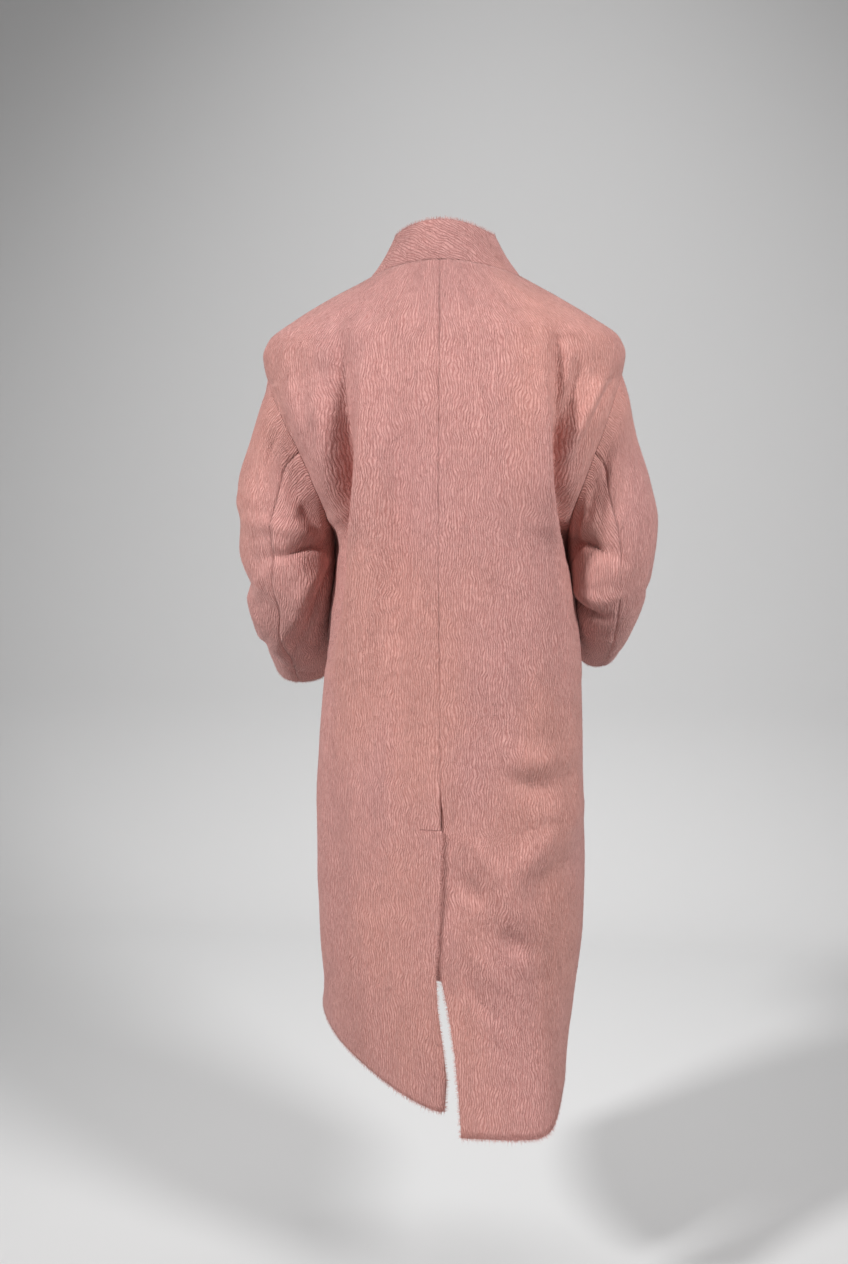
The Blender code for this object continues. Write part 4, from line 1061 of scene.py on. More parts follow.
def cast_group():
    """Broad soft casts of the dye over the whole coat: peach here, mauve there, and light and dark."""
    tree, given, put = new_group(
        "dye casts", "ShaderNodeTree",
        [("Place", "NodeSocketVector", None), ("Colour", "NodeSocketColor", NAP_LIGHT)],
        [("Colour", "NodeSocketColor")],
    )
    stretched = vector_work(tree, "MULTIPLY", given.outputs["Place"], (1.0, 1.0, 0.45))
    peach = noise(tree, stretched, 5.2, 2.0, 0.5)
    mauve = noise(tree, vector_work(tree, "ADD", stretched, (3.1, 1.7, 0.4)), 6.5, 2.0, 0.5)
    fleck = noise(tree, given.outputs["Place"], 60.0, 2.0, 0.6)
    colour = blend_colours(
        tree, spread(tree, peach.outputs["Fac"], 0.44, 0.66, 0.0, 0.22), given.outputs["Colour"], NAP_PEACH)
    colour = blend_colours(
        tree, spread(tree, mauve.outputs["Fac"], 0.46, 0.68, 0.0, 0.28), colour, NAP_MAUVE)
    shade = place(tree, "ShaderNodeHueSaturation")
    join(tree, spread(tree, fleck.outputs["Fac"], 0.30, 0.70, 0.975, 1.025), shade.inputs["Value"])
    join(tree, colour, shade.inputs["Color"])
    join(tree, shade.outputs["Color"], put.inputs["Colour"])
    return tree


def use_group(tree, group, **inputs):
    """A node group placed in a tree with its own values."""
    made = place(tree, "ShaderNodeGroup", node_tree=group)
    for name, value in inputs.items():
        join(tree, value, made.inputs[name.replace("_", " ")])
    return made


def new_material(name):
    """A material with its Principled shader, as tree and shader."""
    made = bpy.data.materials.new(name)
    made.use_nodes = True
    MATERIALS[name] = made
    return made.node_tree, made.node_tree.nodes["Principled BSDF"]


def soft_finish(shader, roughness, sheen, sheen_roughness=0.45):
    """Settings of a matt, soft-haired surface."""
    shader.inputs["Roughness"].default_value = roughness
    shader.inputs["Specular IOR Level"].default_value = 0.18
    shader.inputs["Sheen Weight"].default_value = sheen
    shader.inputs["Sheen Roughness"].default_value = sheen_roughness
    shader.inputs["Sheen Tint"].default_value = (1.0, 0.72, 0.68, 1.0)


def bumped(tree, shader, height, distance, strength):
    """Feeds a height into the shader's normal."""
    bump = place(tree, "ShaderNodeBump")
    join(tree, strength, bump.inputs["Strength"])
    join(tree, distance, bump.inputs["Distance"])
    join(tree, height, bump.inputs["Height"])
    join(tree, bump.outputs["Normal"], shader.inputs["Normal"])


def cloth_material(name, nap, casts, centre_seam):
    """The brushed face of the coating. The back has its centre seam and the stitched top of its vent."""
    tree, shader = new_material(name)
    grain = place(tree, "ShaderNodeUVMap", uv_map="grain").outputs["UV"]
    where = place(tree, "ShaderNodeTexCoord").outputs["Object"]
    brushed = use_group(tree, nap, Grain=grain)
    colour = blend_colours(tree, brushed.outputs["Tone"], NAP_DARK, NAP_LIGHT)
    colour = use_group(tree, casts, Place=where, Colour=colour).outputs["Colour"]
    height = brushed.outputs["Height"]
    if centre_seam:
        parts = place(tree, "ShaderNodeSeparateXYZ")
        join(tree, grain, parts.inputs[0])
        across = parts.outputs["X"]
        up = parts.outputs["Y"]
        # Painted shade: a thin darker line down the centre seam above the vent and across the vent's stitched
        # top, where the seam's groove is shaded. The same mask also sinks the bump height there.
        line = spread(tree, work(tree, "ABSOLUTE", across), 0.0007, 0.0022, 1.0, 0.0)
        line = work(tree, "MULTIPLY", line, work(tree, "GREATER_THAN", up, 0.0))
        off_middle = work(tree, "ABSOLUTE", work(tree, "SUBTRACT", across, 0.015))
        span = spread(tree, off_middle, 0.0135, 0.0150, 1.0, 0.0)
        level = spread(tree, work(tree, "ABSOLUTE", work(tree, "ADD", up, 0.0004)), 0.0008, 0.0022, 1.0, 0.0)
        faint = spread(tree, noise(tree, grain, 9.0, 1.0, 0.5, "2D").outputs["Fac"], 0.38, 0.66, 0.0, 0.7)
        line = work(tree, "MAXIMUM", work(tree, "MULTIPLY", line, faint), work(tree, "MULTIPLY", span, level))
        colour = blend_colours(tree, work(tree, "MULTIPLY", line, 0.28), colour, SEAM_PAINTED_SHADE)
        height = work(tree, "SUBTRACT", height, work(tree, "MULTIPLY", line, 0.9))
    join(tree, colour, shader.inputs["Base Color"])
    soft_finish(shader, 0.92, 0.30)
    bumped(tree, shader, height, 0.0014, 0.80)


def fibre_material(casts):
    """Single raised hairs, from the dark of the ground to the light of the tips."""
    tree, shader = new_material("coat_fibre")
    tone = place(tree, "ShaderNodeAttribute", attribute_name="tone").outputs["Fac"]
    where = place(tree, "ShaderNodeTexCoord").outputs["Object"]
    colour = blend_colours(tree, spread(tree, tone, -0.1, 1.0), NAP_DARK, NAP_LIGHT)
    colour = use_group(tree, casts, Place=where, Colour=colour).outputs["Colour"]
    join(tree, colour, shader.inputs["Base Color"])
    soft_finish(shader, 0.80, 0.20)


def reverse_material():
    """The unbrushed reverse of the coating, a close diagonal weave."""
    tree, shader = new_material("cloth_reverse")
    grain = place(tree, "ShaderNodeUVMap", uv_map="grain").outputs["UV"]
    turned = place(tree, "ShaderNodeMapping")
    join(tree, grain, turned.inputs["Vector"])
    turned.inputs["Rotation"].default_value = (0.0, 0.0, math.radians(52))
    weave = place(tree, "ShaderNodeTexWave", wave_type="BANDS", bands_direction="X")
    join(tree, turned.outputs[0], weave.inputs["Vector"])
    weave.inputs["Scale"].default_value = 170.0
    weave.inputs["Distortion"].default_value = 1.6
    weave.inputs["Detail"].default_value = 2.0
    weave.inputs["Detail Scale"].default_value = 2.5
    felt = noise(tree, grain, 900.0, 3.0, 0.6, "2D")
    share = work(tree, "MULTIPLY", weave.outputs["Fac"], 0.6)
    share = work(tree, "ADD", share, work(tree, "MULTIPLY", felt.outputs["Fac"], 0.4))
    join(tree, blend_colours(tree, share, REVERSE_DARK, REVERSE_LIGHT), shader.inputs["Base Color"])
    soft_finish(shader, 0.95, 0.12)
    bumped(tree, shader, share, 0.0005, 0.7)


def thread_material():
    """Twisted sewing thread."""
    tree, shader = new_material("sewing_thread")
    where = place(tree, "ShaderNodeTexCoord").outputs["Object"]
    twist = noise(tree, where, 1600.0, 2.0, 0.5)
    join(tree, blend_colours(tree, twist.outputs["Fac"], NAP_DARK, THREAD_TONE), shader.inputs["Base Color"])
    shader.inputs["Roughness"].default_value = 0.6
    bumped(tree, shader, twist.outputs["Fac"], 0.0002, 0.6)


def horn_material():
    """Polished buttons with a clouded, streaked body and fine turning marks."""
    tree, shader = new_material("polished_horn")
    where = place(tree, "ShaderNodeTexCoord").outputs["Object"]
    stretched = vector_work(tree, "MULTIPLY", where, (1.0, 1.0, 0.35))
    cloud = noise(tree, stretched, 75.0, 4.0, 0.6, distortion=1.2)
    speck = noise(tree, where, 900.0, 2.0, 0.6)
    share = spread(tree, cloud.outputs["Fac"], 0.36, 0.66)
    join(tree, blend_colours(tree, share, HORN_DARK, HORN_LIGHT), shader.inputs["Base Color"])
    join(tree, spread(tree, speck.outputs["Fac"], 0.3, 0.7, 0.20, 0.36), shader.inputs["Roughness"])
    shader.inputs["Coat Weight"].default_value = 0.35
    shader.inputs["Coat Roughness"].default_value = 0.12
    bumped(tree, shader, speck.outputs["Fac"], 0.00005, 0.4)


def plain_material(name, colour, roughness):
    """A plain studio surface with a faint unevenness, seen only on its front."""
    tree, shader = new_material(name)
    where = place(tree, "ShaderNodeTexCoord").outputs["Object"]
    uneven = noise(tree, where, 0.8, 2.0, 0.5)
    darker = tuple(part * 0.97 for part in colour[:3]) + (1.0,)
    join(tree, blend_colours(tree, uneven.outputs["Fac"], darker, colour), shader.inputs["Base Color"])
    shader.inputs["Roughness"].default_value = roughness
    shader.inputs["Specular IOR Level"].default_value = 0.1
    seen = place(tree, "ShaderNodeMixShader")
    join(tree, place(tree, "ShaderNodeNewGeometry").outputs["Backfacing"], seen.inputs[0])
    join(tree, shader.outputs[0], seen.inputs[1])
    join(tree, place(tree, "ShaderNodeBsdfTransparent").outputs[0], seen.inputs[2])
    join(tree, seen.outputs[0], tree.nodes["Material Output"].inputs["Surface"])


def make_materials():
    """Every finish of the coat and the studio."""
    nap = nap_group()
    casts = cast_group()
    cloth_material("cloth_back", nap, casts, True)
    cloth_material("cloth_plain", nap, casts, False)
    fibre_material(casts)
    reverse_material()
    thread_material()
    horn_material()
    plain_material("studio_floor", (0.70, 0.70, 0.70, 1.0), 0.9)


def fibre_tree():
    """Geometry Nodes: hairs scattered over a surface, lying along its lay and lifting at the tip."""
    tree, given, put = new_group(
        "brushed fibres", "GeometryNodeTree",
        [("Surface", "NodeSocketGeometry", None), ("Density", "NodeSocketFloat", 1000.0),
         ("Length", "NodeSocketFloat", 0.01), ("Width", "NodeSocketFloat", 0.001),
         ("Lift", "NodeSocketFloat", 0.002), ("Seed", "NodeSocketInt", 1),
         ("Finish", "NodeSocketMaterial", None)],
        [("Hairs", "NodeSocketGeometry")],
    )
    tree.is_modifier = True
    cover = place(tree, "GeometryNodeInputNamedAttribute", data_type="FLOAT")
    cover.inputs["Name"].default_value = "cover"
    lay = place(tree, "GeometryNodeInputNamedAttribute", data_type="FLOAT_VECTOR")
    lay.inputs["Name"].default_value = "lay"
    scatter = place(tree, "GeometryNodeDistributePointsOnFaces", distribute_method="RANDOM")
    join(tree, given.outputs["Surface"], scatter.inputs["Mesh"])
    join(tree, work(tree, "MULTIPLY", given.outputs["Density"], cover.outputs["Attribute"]),
         scatter.inputs["Density"])
    join(tree, given.outputs["Seed"], scatter.inputs["Seed"])
    stray = chance(tree, -0.42, 0.42, 11)
    turned = place(tree, "ShaderNodeVectorRotate", rotation_type="AXIS_ANGLE")
    join(tree, lay.outputs["Attribute"], turned.inputs["Vector"])
    join(tree, scatter.outputs["Normal"], turned.inputs["Axis"])
    join(tree, stray, turned.inputs["Angle"])
    facing = place(tree, "FunctionNodeAxesToRotation", primary_axis="Z", secondary_axis="Y")
    join(tree, scatter.outputs["Normal"], facing.inputs["Primary Axis"])
    join(tree, turned.outputs[0], facing.inputs["Secondary Axis"])
    rarely = work(tree, "POWER", chance(tree, 0.0, 1.0, 12), 2.4)
    size = place(tree, "ShaderNodeCombineXYZ")
    join(tree, work(tree, "MULTIPLY", given.outputs["Width"], chance(tree, 0.6, 1.3, 13)), size.inputs["X"])
    join(tree, work(tree, "MULTIPLY", given.outputs["Length"], chance(tree, 0.6, 1.25, 14)), size.inputs["Y"])
    raised = work(tree, "ADD", 0.25, work(tree, "MULTIPLY", rarely, 1.1))
    join(tree, work(tree, "MULTIPLY", given.outputs["Lift"], raised), size.inputs["Z"])
    hairs = place(tree, "GeometryNodeInstanceOnPoints")
    join(tree, scatter.outputs["Points"], hairs.inputs["Points"])
    join(tree, one_hair(tree), hairs.inputs["Instance"])
    join(tree, facing.outputs["Rotation"], hairs.inputs["Rotation"])
    join(tree, size.outputs[0], hairs.inputs["Scale"])
    toned = place(tree, "GeometryNodeStoreNamedAttribute", data_type="FLOAT", domain="INSTANCE")
    join(tree, hairs.outputs[0], toned.inputs["Geometry"])
    toned.inputs["Name"].default_value = "tone"
    join(tree, chance(tree, 0.0, 1.0, 15), toned.inputs["Value"])
    based = place(tree, "GeometryNodeStoreNamedAttribute", data_type="FLOAT_VECTOR", domain="INSTANCE")
    join(tree, toned.outputs[0], based.inputs["Geometry"])
    based.inputs["Name"].default_value = "ground"
    join(tree, scatter.outputs["Normal"], based.inputs["Value"])
    real = place(tree, "GeometryNodeRealizeInstances")
    join(tree, based.outputs[0], real.inputs[0])
    finish = place(tree, "GeometryNodeSetMaterial")
    join(tree, real.outputs[0], finish.inputs["Geometry"])
    join(tree, given.outputs["Finish"], finish.inputs["Material"])
    join(tree, finish.outputs[0], put.inputs["Hairs"])
    return tree


def chance(tree, low, high, seed):
    """A random number between low and high for each point."""
    made = place(tree, "FunctionNodeRandomValue", data_type="FLOAT")
    floats = [socket for socket in made.inputs if socket.type == "VALUE" and socket.enabled]
    floats[0].default_value = low
    floats[1].default_value = high
    made.inputs["Seed"].default_value = seed
    return [socket for socket in made.outputs if socket.enabled][0]


def one_hair(tree):
    """One hair of unit length along Y: wide at the root, narrow at the tip, curved up in Z."""
    strip = place(tree, "GeometryNodeMeshGrid")
    strip.inputs["Size X"].default_value = 1.0
    strip.inputs["Size Y"].default_value = 1.0
    strip.inputs["Vertices X"].default_value = 2
    strip.inputs["Vertices Y"].default_value = 3
    spot = place(tree, "ShaderNodeSeparateXYZ")
    join(tree, place(tree, "GeometryNodeInputPosition").outputs[0], spot.inputs[0])
    share = work(tree, "ADD", spot.outputs["Y"], 0.5)
    taper = work(tree, "POWER", work(tree, "SUBTRACT", 1.04, share), 0.7)
    sway = work(tree, "MULTIPLY", work(tree, "SINE", work(tree, "MULTIPLY", share, 4.4)), 0.8)
    shaped = place(tree, "ShaderNodeCombineXYZ")
    join(tree, work(tree, "ADD", work(tree, "MULTIPLY", spot.outputs["X"], taper), sway), shaped.inputs["X"])
    join(tree, share, shaped.inputs["Y"])
    curve = work(tree, "SUBTRACT", work(tree, "POWER", share, 1.3), 0.10)
    join(tree, curve, shaped.inputs["Z"])
    moved = place(tree, "GeometryNodeSetPosition")
    join(tree, strip.outputs["Mesh"], moved.inputs["Geometry"])
    join(tree, shaped.outputs[0], moved.inputs["Position"])
    return moved.outputs[0]


def run_tree(name, base, tree, values):
    """Runs a Geometry Nodes tree on a base object and keeps its result as a plain mesh object."""
    modifier = base.modifiers.new("made", "NODES")
    modifier.node_group = tree
    sockets = {item.name: item.identifier for item in tree.interface.items_tree if item.in_out == "INPUT"}
    for label, value in values.items():
        modifier[sockets[label]] = value
    bpy.context.view_layer.update()
    graph = bpy.context.evaluated_depsgraph_get()
    mesh = bpy.data.meshes.new_from_object(base.evaluated_get(graph))
    mesh.name = name
    made = bpy.data.objects.new(name, mesh)
    bpy.context.scene.collection.objects.link(made)
    bpy.data.objects.remove(base, do_unlink=True)
    return made


def surface_object(points, lay, cover):
    """A temporary open surface with its lay and cover stored on its points."""
    rows, columns = points.shape[:2]
    index = np.arange(rows * columns).reshape(rows, columns)
    a, b, c, d = index[:-1, :-1], index[:-1, 1:], index[1:, 1:], index[1:, :-1]
    faces = np.stack([a, b, c, d], axis=-1).reshape(-1, 4)
    made = mesh_object("surface", points.reshape(-1, 3), faces.tolist())
    layer = made.data.attributes.new("lay", "FLOAT_VECTOR", "POINT")
    layer.data.foreach_set("vector", lay.astype(np.float32).ravel())
    layer = made.data.attributes.new("cover", "FLOAT", "POINT")
    layer.data.foreach_set("value", cover.astype(np.float32).ravel())
    return made


def outward_order(points, own):
    """The grid with its columns reversed where its faces would otherwise point inwards."""
    side = np.cross(points[0, 1] - points[0, 0], points[1, 0] - points[0, 0])
    return np.s_[:, ::-1] if np.dot(side, own[0, 0]) < 0 else np.s_[:, :]


def grow_fibres(name, tree, points, own, lay, cover, fibres, seed):
    """Hairs over one surface, shaded like the cloth that they stand on."""
    order = outward_order(points, own)
    base = surface_object(points[order], lay[order], cover[order])
    row = dict(zip(FIBRE_COLUMNS, fibres))
    made = run_tree(name, base, tree, {
        "Density": row["density"], "Length": row["length"], "Width": row["width"],
        "Lift": row["lift"], "Seed": seed, "Finish": MATERIALS["coat_fibre"],
    })
    mesh = made.data
    mesh.shade_smooth()
    ground = np.empty(len(mesh.vertices) * 3, np.float32)
    mesh.attributes["ground"].data.foreach_get("vector", ground)
    mesh.normals_split_custom_set_from_vertices(ground.reshape(-1, 3).tolist())
    mesh.attributes.remove(mesh.attributes["ground"])
    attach(made, "root")
    return made


def lay_of(layer):
    """Direction in which the nap lies at each point: down the cloth, swaying a little."""
    points = layer["points"]
    down = unit(np.gradient(points, axis=0)) * layer["down"]
    if "slant" in layer:
        across = unit(np.gradient(points, axis=1)) * layer["slant"]
        down = unit(down * math.sin(math.radians(COLLAR_NAP_SLANT)) + across)
    angle = 0.55 * soft_noise(points, 0.034, 21) + 0.30 * soft_noise(points, 0.013, 22)
    side = np.cross(layer["own"], down)
    return unit(down * np.cos(angle)[..., None] + side * np.sin(angle)[..., None])


def edge_strip(name, layer, edge, levels):
    """The narrow band along one edge of a piece, with its facing and its lay pointing off the edge."""
    points = layer["points"]
    own = layer["own"]
    if edge == "last_row":
        points, own = points[::-1], own[::-1]
    if edge == "first_column":
        points, own = points.transpose(1, 0, 2), own.transpose(1, 0, 2)
        if name.startswith("back"):
            free = levels < VENT_LEVEL - 0.01
            points, own = points[:, free], own[:, free]
    off = unit(points[0] - points[1])
    return points[0:2], own[0:2], np.stack([off, off])


def cover_of(name, layer, levels):
    """Where a piece's outer face is open to the air: 0 under another piece and under the buttons."""
    points = layer["points"]
    x, z = points[..., 0], points[..., 2]
    cover = layer.get("cover", np.ones(points.shape[:2])).copy()
    if name == "back_right":
        edge = first_edge(levels, "back", 1)[:, None]
        below = (levels < VENT_LEVEL - 0.01)[:, None]
        cover = np.where(below & (x > edge - 0.002), 0.0, cover)
    if name == "front_left":
        reach = -first_edge(levels, "front", 1)[:, None]
        cover = np.where(x < reach + 0.001, 0.0, cover)
    if name == "front_right":
        for row_x in (BUTTON_ROW_X, -BUTTON_ROW_X):
            for row_z in BUTTON_ROW_Z:
                cover *= ramp(np.hypot(x - row_x, z - row_z), BUTTON_RADIUS + 0.001, BUTTON_RADIUS + 0.006)
    return cover


def nap(levels):
    """The raised fibres of every cloth piece, and the denser fringe of them along its free edges."""
    tree = fibre_tree()
    grown = {}
    for number, (name, layer) in enumerate(LAYERS.items()):
        lay = lay_of(layer)
        points = tilted(layer["points"])
        cover = cover_of(name, layer, levels) * SHARE_SEEN.get(name, 1.0)
        made = grow_fibres(
            "nap_" + name, tree, points, layer["own"], lay, cover, FACE_FIBRES, 30 + number)
        grown[name] = [made]
        for place, edge in enumerate(FREE_EDGES.get(name, ())):
            band, own, off = edge_strip(name, layer, edge, levels)
            made = grow_fibres(
                f"fringe_{name}_{edge}", tree, tilted(band), own, off, np.ones(band.shape[:2]),
                EDGE_FIBRES, 60 + 3 * number + place)
            grown[name].append(made)
    return grown


def button(name, centre, facing):
    """A plain round four-hole button with a raised rim, sewn on with two bars of thread."""
    across = unit(np.cross(np.array([0.0, 0.0, 1.0]), facing))
    up = np.cross(facing, across)
    frame_of = np.stack([across, up, facing], axis=-1)
    rings = smooth_through(np.arange(len(BUTTON_PROFILE)), np.array(BUTTON_PROFILE),
                           np.linspace(0, len(BUTTON_PROFILE) - 1, BUTTON_RINGS))
    turns = np.linspace(0, 2 * np.pi, BUTTON_TURNS, endpoint=False)
    radius = rings[1:-1, 0][:, None] * BUTTON_RADIUS
    height = np.broadcast_to(rings[1:-1, 1][:, None] * BUTTON_THICK, (BUTTON_RINGS - 2, BUTTON_TURNS))
    wall = np.stack([radius * np.cos(turns), radius * np.sin(turns), height], axis=-1).reshape(-1, 3)
    ends = np.array([[0, 0, rings[0, 1] * BUTTON_THICK], [0, 0, rings[-1, 1] * BUTTON_THICK]])
    points = np.concatenate([wall, ends])
    index = np.arange(len(wall)).reshape(-1, BUTTON_TURNS)
    after = np.roll(index, -1, axis=1)
    faces = np.stack([index[:-1], after[:-1], after[1:], index[1:]], axis=-1).reshape(-1, 4).tolist()
    faces += [[len(wall), after[0, step], index[0, step]] for step in range(BUTTON_TURNS)]
    faces += [[len(wall) + 1, index[-1, step], after[-1, step]] for step in range(BUTTON_TURNS)]
    body = mesh_object(name, points, faces)
    body.data.materials.append(MATERIALS["polished_horn"])
    body.data.materials.append(MATERIALS["sewing_thread"])
    drill = hole_cutter()
    cut = body.modifiers.new("holes", "BOOLEAN")
    cut.operation = "DIFFERENCE"
    cut.solver = "EXACT"
    cut.object = drill
    bpy.context.view_layer.update()
    graph = bpy.context.evaluated_depsgraph_get()
    mesh = bpy.data.meshes.new_from_object(body.evaluated_get(graph))
    body.modifiers.clear()
    body.data = mesh
    bpy.data.objects.remove(drill, do_unlink=True)
    thread = thread_bars()
    work_mesh = bmesh.new()
    work_mesh.from_mesh(mesh)
    work_mesh.from_mesh(thread.data)
    work_mesh.to_mesh(mesh)
    work_mesh.free()
    bpy.data.objects.remove(thread, do_unlink=True)
    places = np.empty(len(mesh.vertices) * 3)
    mesh.vertices.foreach_get("co", places)
    placed = places.reshape(-1, 3) @ frame_of.T + centre
    mesh.vertices.foreach_set("co", placed.ravel())
    mesh.update()
    mesh.shade_smooth()
    mesh.set_sharp_from_angle(angle=math.radians(38))
    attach(body, "root")
    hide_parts(name)


def hole_cutter():
    """Four short rods, for the holes of a button."""
    turns = np.linspace(0, 2 * np.pi, 16, endpoint=False)
    points = []
    faces = []
    for x, y in HOLE_PLACES:
        start = len(points)
        for z in (-0.002, 0.008):
            points.extend([(x + HOLE_RADIUS * math.cos(t), y + HOLE_RADIUS * math.sin(t), z) for t in turns])
        low = list(range(start, start + 16))
        high = list(range(start + 16, start + 32))
        faces.append(low[::-1])
        faces.append(high)
        for step in range(16):
            after = (step + 1) % 16
            faces.append([low[step], low[after], high[after], high[step]])
    return mesh_object("drill", points, faces)


def thread_bars():
    """Two bars of sewing thread, each of four strands over the middle of a button."""
    points = []
    faces = []
    share = np.linspace(0, 1, 9)
    for y in (-HOLE_APART, HOLE_APART):
        for strand in range(4):
            shift = (strand - 1.5) * 0.00042
            x = (2 * share - 1) * HOLE_APART
            arch = np.sin(np.pi * share)
            rise = 0.66 * BUTTON_THICK + 0.0007 * arch ** 0.5 - 0.0012 * (1 - arch) ** 4
            start = len(points)
            for step in range(9):
                for turn in np.linspace(0, 2 * np.pi, 6, endpoint=False):
                    points.append((
                        x[step],
                        y + shift + THREAD_RADIUS * math.cos(turn),
                        rise[step] + THREAD_RADIUS * math.sin(turn),
                    ))
            for step in range(8):
                for turn in range(6):
                    low = start + step * 6
                    after = (turn + 1) % 6
                    faces.append([low + turn, low + 6 + turn, low + 6 + after, low + after])
            faces.append([start + turn for turn in range(6)])
            faces.append([start + 48 + turn for turn in range(6)][::-1])
    made = mesh_object("thread", points, faces)
    made.data.polygons.foreach_set("material_index", np.ones(len(made.data.polygons), np.int32))
    return made


def buttons(outer_front):
    """Two upright rows of three buttons, each seated on the outer front where it lies."""
    grid = outer_front["points"]
    normals = outer_front["own"]
    for row_name, x in (("edge", BUTTON_ROW_X), ("inner", -BUTTON_ROW_X)):
        for number, z in enumerate(BUTTON_ROW_Z, start=1):
            apart = np.hypot(grid[..., 0] - x, grid[..., 2] - z)
            near = apart < 0.05
            weight = np.exp(-((apart[near] / 0.014) ** 2))[:, None]
            facing = unit(np.sum(normals[near] * weight, axis=0))
            reach = (grid[apart < BUTTON_RADIUS + 0.002] @ facing).max()
            y = (reach - x * facing[0] - z * facing[2]) / facing[1]
            centre = np.array([x, y, z]) + facing * 0.0004
            button(f"button_{row_name}_{number}", centre, facing)


def stitch_tree():
    """Geometry Nodes: plump stitches at an even pitch along lines, lying along them."""
    tree, given, put = new_group(
        "sewn stitches", "GeometryNodeTree",
        [("Lines", "NodeSocketGeometry", None), ("Pitch", "NodeSocketFloat", 0.004),
         ("Length", "NodeSocketFloat", 0.003), ("Thickness", "NodeSocketFloat", 0.0005),
         ("Seed", "NodeSocketInt", 1), ("Finish", "NodeSocketMaterial", None)],
        [("Stitches", "NodeSocketGeometry")],
    )
    tree.is_modifier = True
    curve = place(tree, "GeometryNodeMeshToCurve")
    join(tree, given.outputs["Lines"], curve.inputs["Mesh"])
    spaced = place(tree, "GeometryNodeResampleCurve", mode="LENGTH")
    join(tree, curve.outputs[0], spaced.inputs["Curve"])
    join(tree, given.outputs["Pitch"], spaced.inputs["Length"])
    facing = place(tree, "GeometryNodeInputNamedAttribute", data_type="FLOAT_VECTOR")
    facing.inputs["Name"].default_value = "facing"
    turned = place(tree, "FunctionNodeAxesToRotation", primary_axis="Z", secondary_axis="Y")
    join(tree, facing.outputs["Attribute"], turned.inputs["Primary Axis"])
    join(tree, place(tree, "GeometryNodeInputTangent").outputs[0], turned.inputs["Secondary Axis"])
    ball = place(tree, "GeometryNodeMeshUVSphere")
    ball.inputs["Segments"].default_value = 8
    ball.inputs["Rings"].default_value = 6
    ball.inputs["Radius"].default_value = 0.5
    size = place(tree, "ShaderNodeCombineXYZ")
    join(tree, given.outputs["Thickness"], size.inputs["X"])
    uneven = chance(tree, 0.85, 1.12, 5)
    join(tree, given.outputs["Seed"], uneven.node.inputs["Seed"])
    join(tree, work(tree, "MULTIPLY", given.outputs["Length"], uneven), size.inputs["Y"])
    join(tree, given.outputs["Thickness"], size.inputs["Z"])
    sewn = place(tree, "GeometryNodeInstanceOnPoints")
    join(tree, spaced.outputs[0], sewn.inputs["Points"])
    join(tree, ball.outputs["Mesh"], sewn.inputs["Instance"])
    join(tree, turned.outputs["Rotation"], sewn.inputs["Rotation"])
    join(tree, size.outputs[0], sewn.inputs["Scale"])
    real = place(tree, "GeometryNodeRealizeInstances")
    join(tree, sewn.outputs[0], real.inputs[0])
    finish = place(tree, "GeometryNodeSetMaterial")
    join(tree, real.outputs[0], finish.inputs["Geometry"])
    join(tree, given.outputs["Finish"], finish.inputs["Material"])
    join(tree, finish.outputs[0], put.inputs["Stitches"])
    return tree


def stitch_lines(name, lines, facings, tree, pitch, length, thickness, seed):
    """Stitches along some lines of points, each with the cloth's facing there."""
    points = tilted(np.concatenate(lines))
    starts = np.cumsum([0] + [len(line) for line in lines])
    mesh = bpy.data.meshes.new("lines")
    links = [
        (spot, spot + 1)
        for first, last in zip(starts[:-1], starts[1:]) for spot in range(first, last - 1)
    ]
    mesh.from_pydata([tuple(point) for point in points], links, [])
    layer = mesh.attributes.new("facing", "FLOAT_VECTOR", "POINT")
    layer.data.foreach_set("vector", np.concatenate(facings).astype(np.float32).ravel())
    base = bpy.data.objects.new("lines", mesh)
    bpy.context.scene.collection.objects.link(base)
    made = run_tree(name, base, tree, {
        "Pitch": pitch, "Length": length, "Thickness": thickness, "Seed": seed,
        "Finish": MATERIALS["sewing_thread"],
    })
    made.data.shade_smooth()
    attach(made, "root")
    return made


def spots_on(piece, columns_at, rows_at):
    """Points and facings on a body piece at fractional rows and columns of its grid."""
    return grid_lookup(piece["points"], rows_at, columns_at), grid_lookup(piece["own"], rows_at, columns_at)


def vent_stitches(piece, levels, tree):
    """The row of stitches that holds the top of the vent, out from the centre seam."""
    row = float(np.argmin(np.abs(levels - VENT_LEVEL)))
    run, _ = edge_runs(piece["points"])
    reach = np.linspace(VENT_STITCH_FROM, VENT_STITCH_TO, 12)
    column = np.interp(reach, run[int(row)], np.arange(run.shape[1]))
    points, facings = spots_on(piece, column, np.full(12, row))
    return stitch_lines(
        "vent_top_stitches", [points + facings * 0.0001], [facings], tree, STITCH_PITCH, 0.0034, 0.0008, 7)


def buttonholes(piece, tree):
    """Worked buttonholes of the edge row, level with the buttons: close thread round a slit."""
    grid = piece["points"]
    lines = []
    facings = []
    turns = np.linspace(0, 2 * np.pi, 60)
    for z in BUTTON_ROW_Z:
        x = BUTTON_ROW_X + 0.5 * np.cos(turns) * BUTTONHOLE_LENGTH + 0.004
        high = z + np.sign(np.sin(turns)) * np.abs(np.sin(turns)) ** 0.35 * 0.0014
        flat = grid[..., [0, 2]].reshape(-1, 2)
        near = [int(np.argmin(np.hypot(flat[:, 0] - px, flat[:, 1] - pz))) for px, pz in zip(x, high)]
        facing = piece["own"].reshape(-1, 3)[near]
        base = grid.reshape(-1, 3)[near]
        y = base[:, 1] - ((x - base[:, 0]) * facing[:, 0] + (high - base[:, 2]) * facing[:, 2]) / facing[:, 1]
        lines.append(np.stack([x, y, high], axis=-1) + facing * 0.0002)
        facings.append(facing)
    return stitch_lines("buttonhole_stitches", lines, facings, tree, 0.0010, 0.0011, 0.0010, 8)


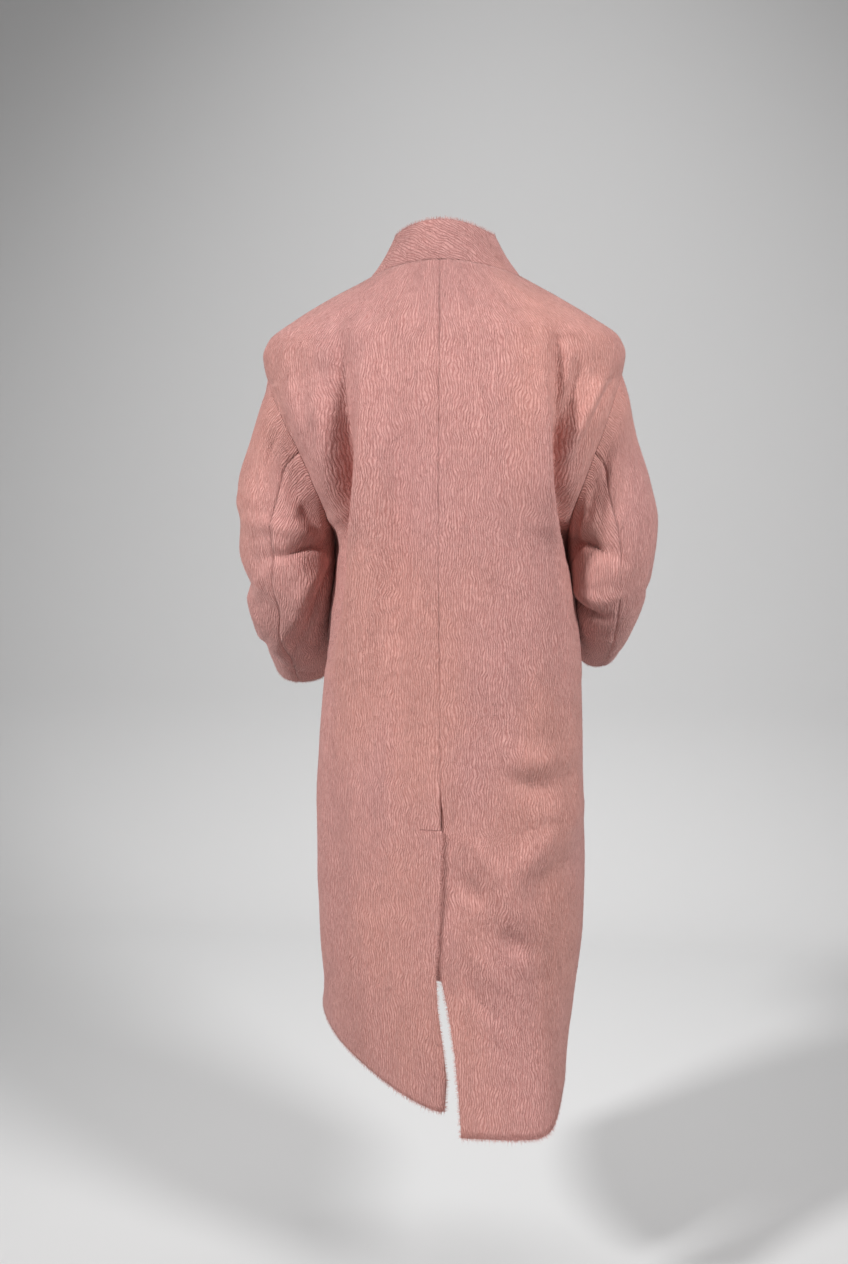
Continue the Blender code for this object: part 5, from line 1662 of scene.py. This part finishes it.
def studio():
    """Pale floor that sweeps up into a wall behind, soft lights and the camera."""
    bend_at = np.linspace(0, np.pi / 2, 17)
    run = np.concatenate([[4.5], WALL_Y + SWEEP * (1 - np.sin(bend_at)), [WALL_Y]])
    rise = np.concatenate([[FLOOR_Z], FLOOR_Z + SWEEP * (1 - np.cos(bend_at)), [4.0]])
    points = [(x, y, z) for x in (-6.0, 6.0) for y, z in zip(run, rise)]
    count = len(run)
    faces = [[step, step + 1, count + step + 1, count + step] for step in range(count - 1)]
    ground = mesh_object("studio_floor", points, faces)
    ground.data.materials.append(MATERIALS["studio_floor"])
    for name, place_at, target, size, beam, power in LAMPS:
        data = bpy.data.lights.new(name, "AREA")
        data.shape = "DISK"
        data.size = size
        data.spread = math.radians(beam)
        data.energy = power
        lamp = bpy.data.objects.new(name, data)
        lamp.location = place_at
        way = Vector(target) - Vector(place_at)
        lamp.rotation_euler = way.to_track_quat("-Z", "Y").to_euler()
        bpy.context.scene.collection.objects.link(lamp)
    world = bpy.data.worlds.new("studio")
    world.use_nodes = True
    world.node_tree.nodes["Background"].inputs["Color"].default_value = (1.0, 1.0, 1.0, 1.0)
    world.node_tree.nodes["Background"].inputs["Strength"].default_value = WORLD_LIGHT
    bpy.context.scene.world = world
    heading = math.radians(CAMERA_HEADING)
    pitch = math.radians(CAMERA_PITCH)
    level = math.cos(pitch)
    back = Vector((-math.sin(heading) * level, math.cos(heading) * level, math.sin(pitch)))
    right = Vector((-math.cos(heading), -math.sin(heading), 0.0))
    up = back.cross(right)
    camera_data = bpy.data.cameras.new("camera")
    camera_data.lens = 50.0
    camera_data.sensor_width = 36.0
    camera_data.sensor_fit = "AUTO"
    camera = bpy.data.objects.new("camera", camera_data)
    camera.matrix_world = Matrix((
        (right.x, up.x, back.x, CAMERA_AT[0]),
        (right.y, up.y, back.y, CAMERA_AT[1]),
        (right.z, up.z, back.z, CAMERA_AT[2]),
        (0.0, 0.0, 0.0, 1.0),
    ))
    bpy.context.scene.collection.objects.link(camera)
    bpy.context.scene.camera = camera
    bpy.context.scene.view_settings.view_transform = "Standard"
    bpy.context.scene.view_settings.look = "None"


def build():
    """All the coat's pieces in the studio."""
    make_materials()
    levels = np.concatenate([
        np.linspace(0, VENT_LEVEL - 0.25, VENT_CELLS),
        np.linspace(VENT_LEVEL - 0.25, VENT_LEVEL - 0.012, VENT_TOP_CELLS)[1:],
        np.linspace(VENT_LEVEL, ARMPIT_LEVEL, SKIRT_CELLS),
        np.linspace(ARMPIT_LEVEL, ARM_TOP_LEVEL, ARMHOLE_CELLS + 1)[1:],
        np.linspace(ARM_TOP_LEVEL, NECK_LEVEL, SHOULDER_CELLS + 1)[1:],
    ])
    pieces = body_pieces(levels)
    sleeve(pieces, levels, 1, LEFT_RINGS, LEFT_SLEEVE_FOLDS + LEFT_SLEEVE_CREASES)
    sleeve(pieces, levels, -1, RIGHT_RINGS, RIGHT_SLEEVE_FOLDS + RIGHT_SLEEVE_CREASES)
    collar(pieces)
    for (face, side), piece in pieces.items():
        word = "left" if side > 0 else "right"
        name = f"{face}_{word}"
        through = lean(piece["normals"], piece["own"])
        shell("cloth_" + name, piece["points"], through, piece["own"], piece["grain"], name)
        LAYERS[name] = {"points": piece["points"], "own": piece["own"], "grain": piece["grain"], "down": -1}
    grown = nap(levels)
    buttons(pieces["front", -1])
    tree = stitch_tree()
    grown["back_left"].append(vent_stitches(pieces["back", 1], levels, tree))
    grown["front_right"].append(buttonholes(pieces["front", -1], tree))
    for made, flat, area in SHEETS:
        name = made.name.replace("cloth_", "")
    studio()


build()
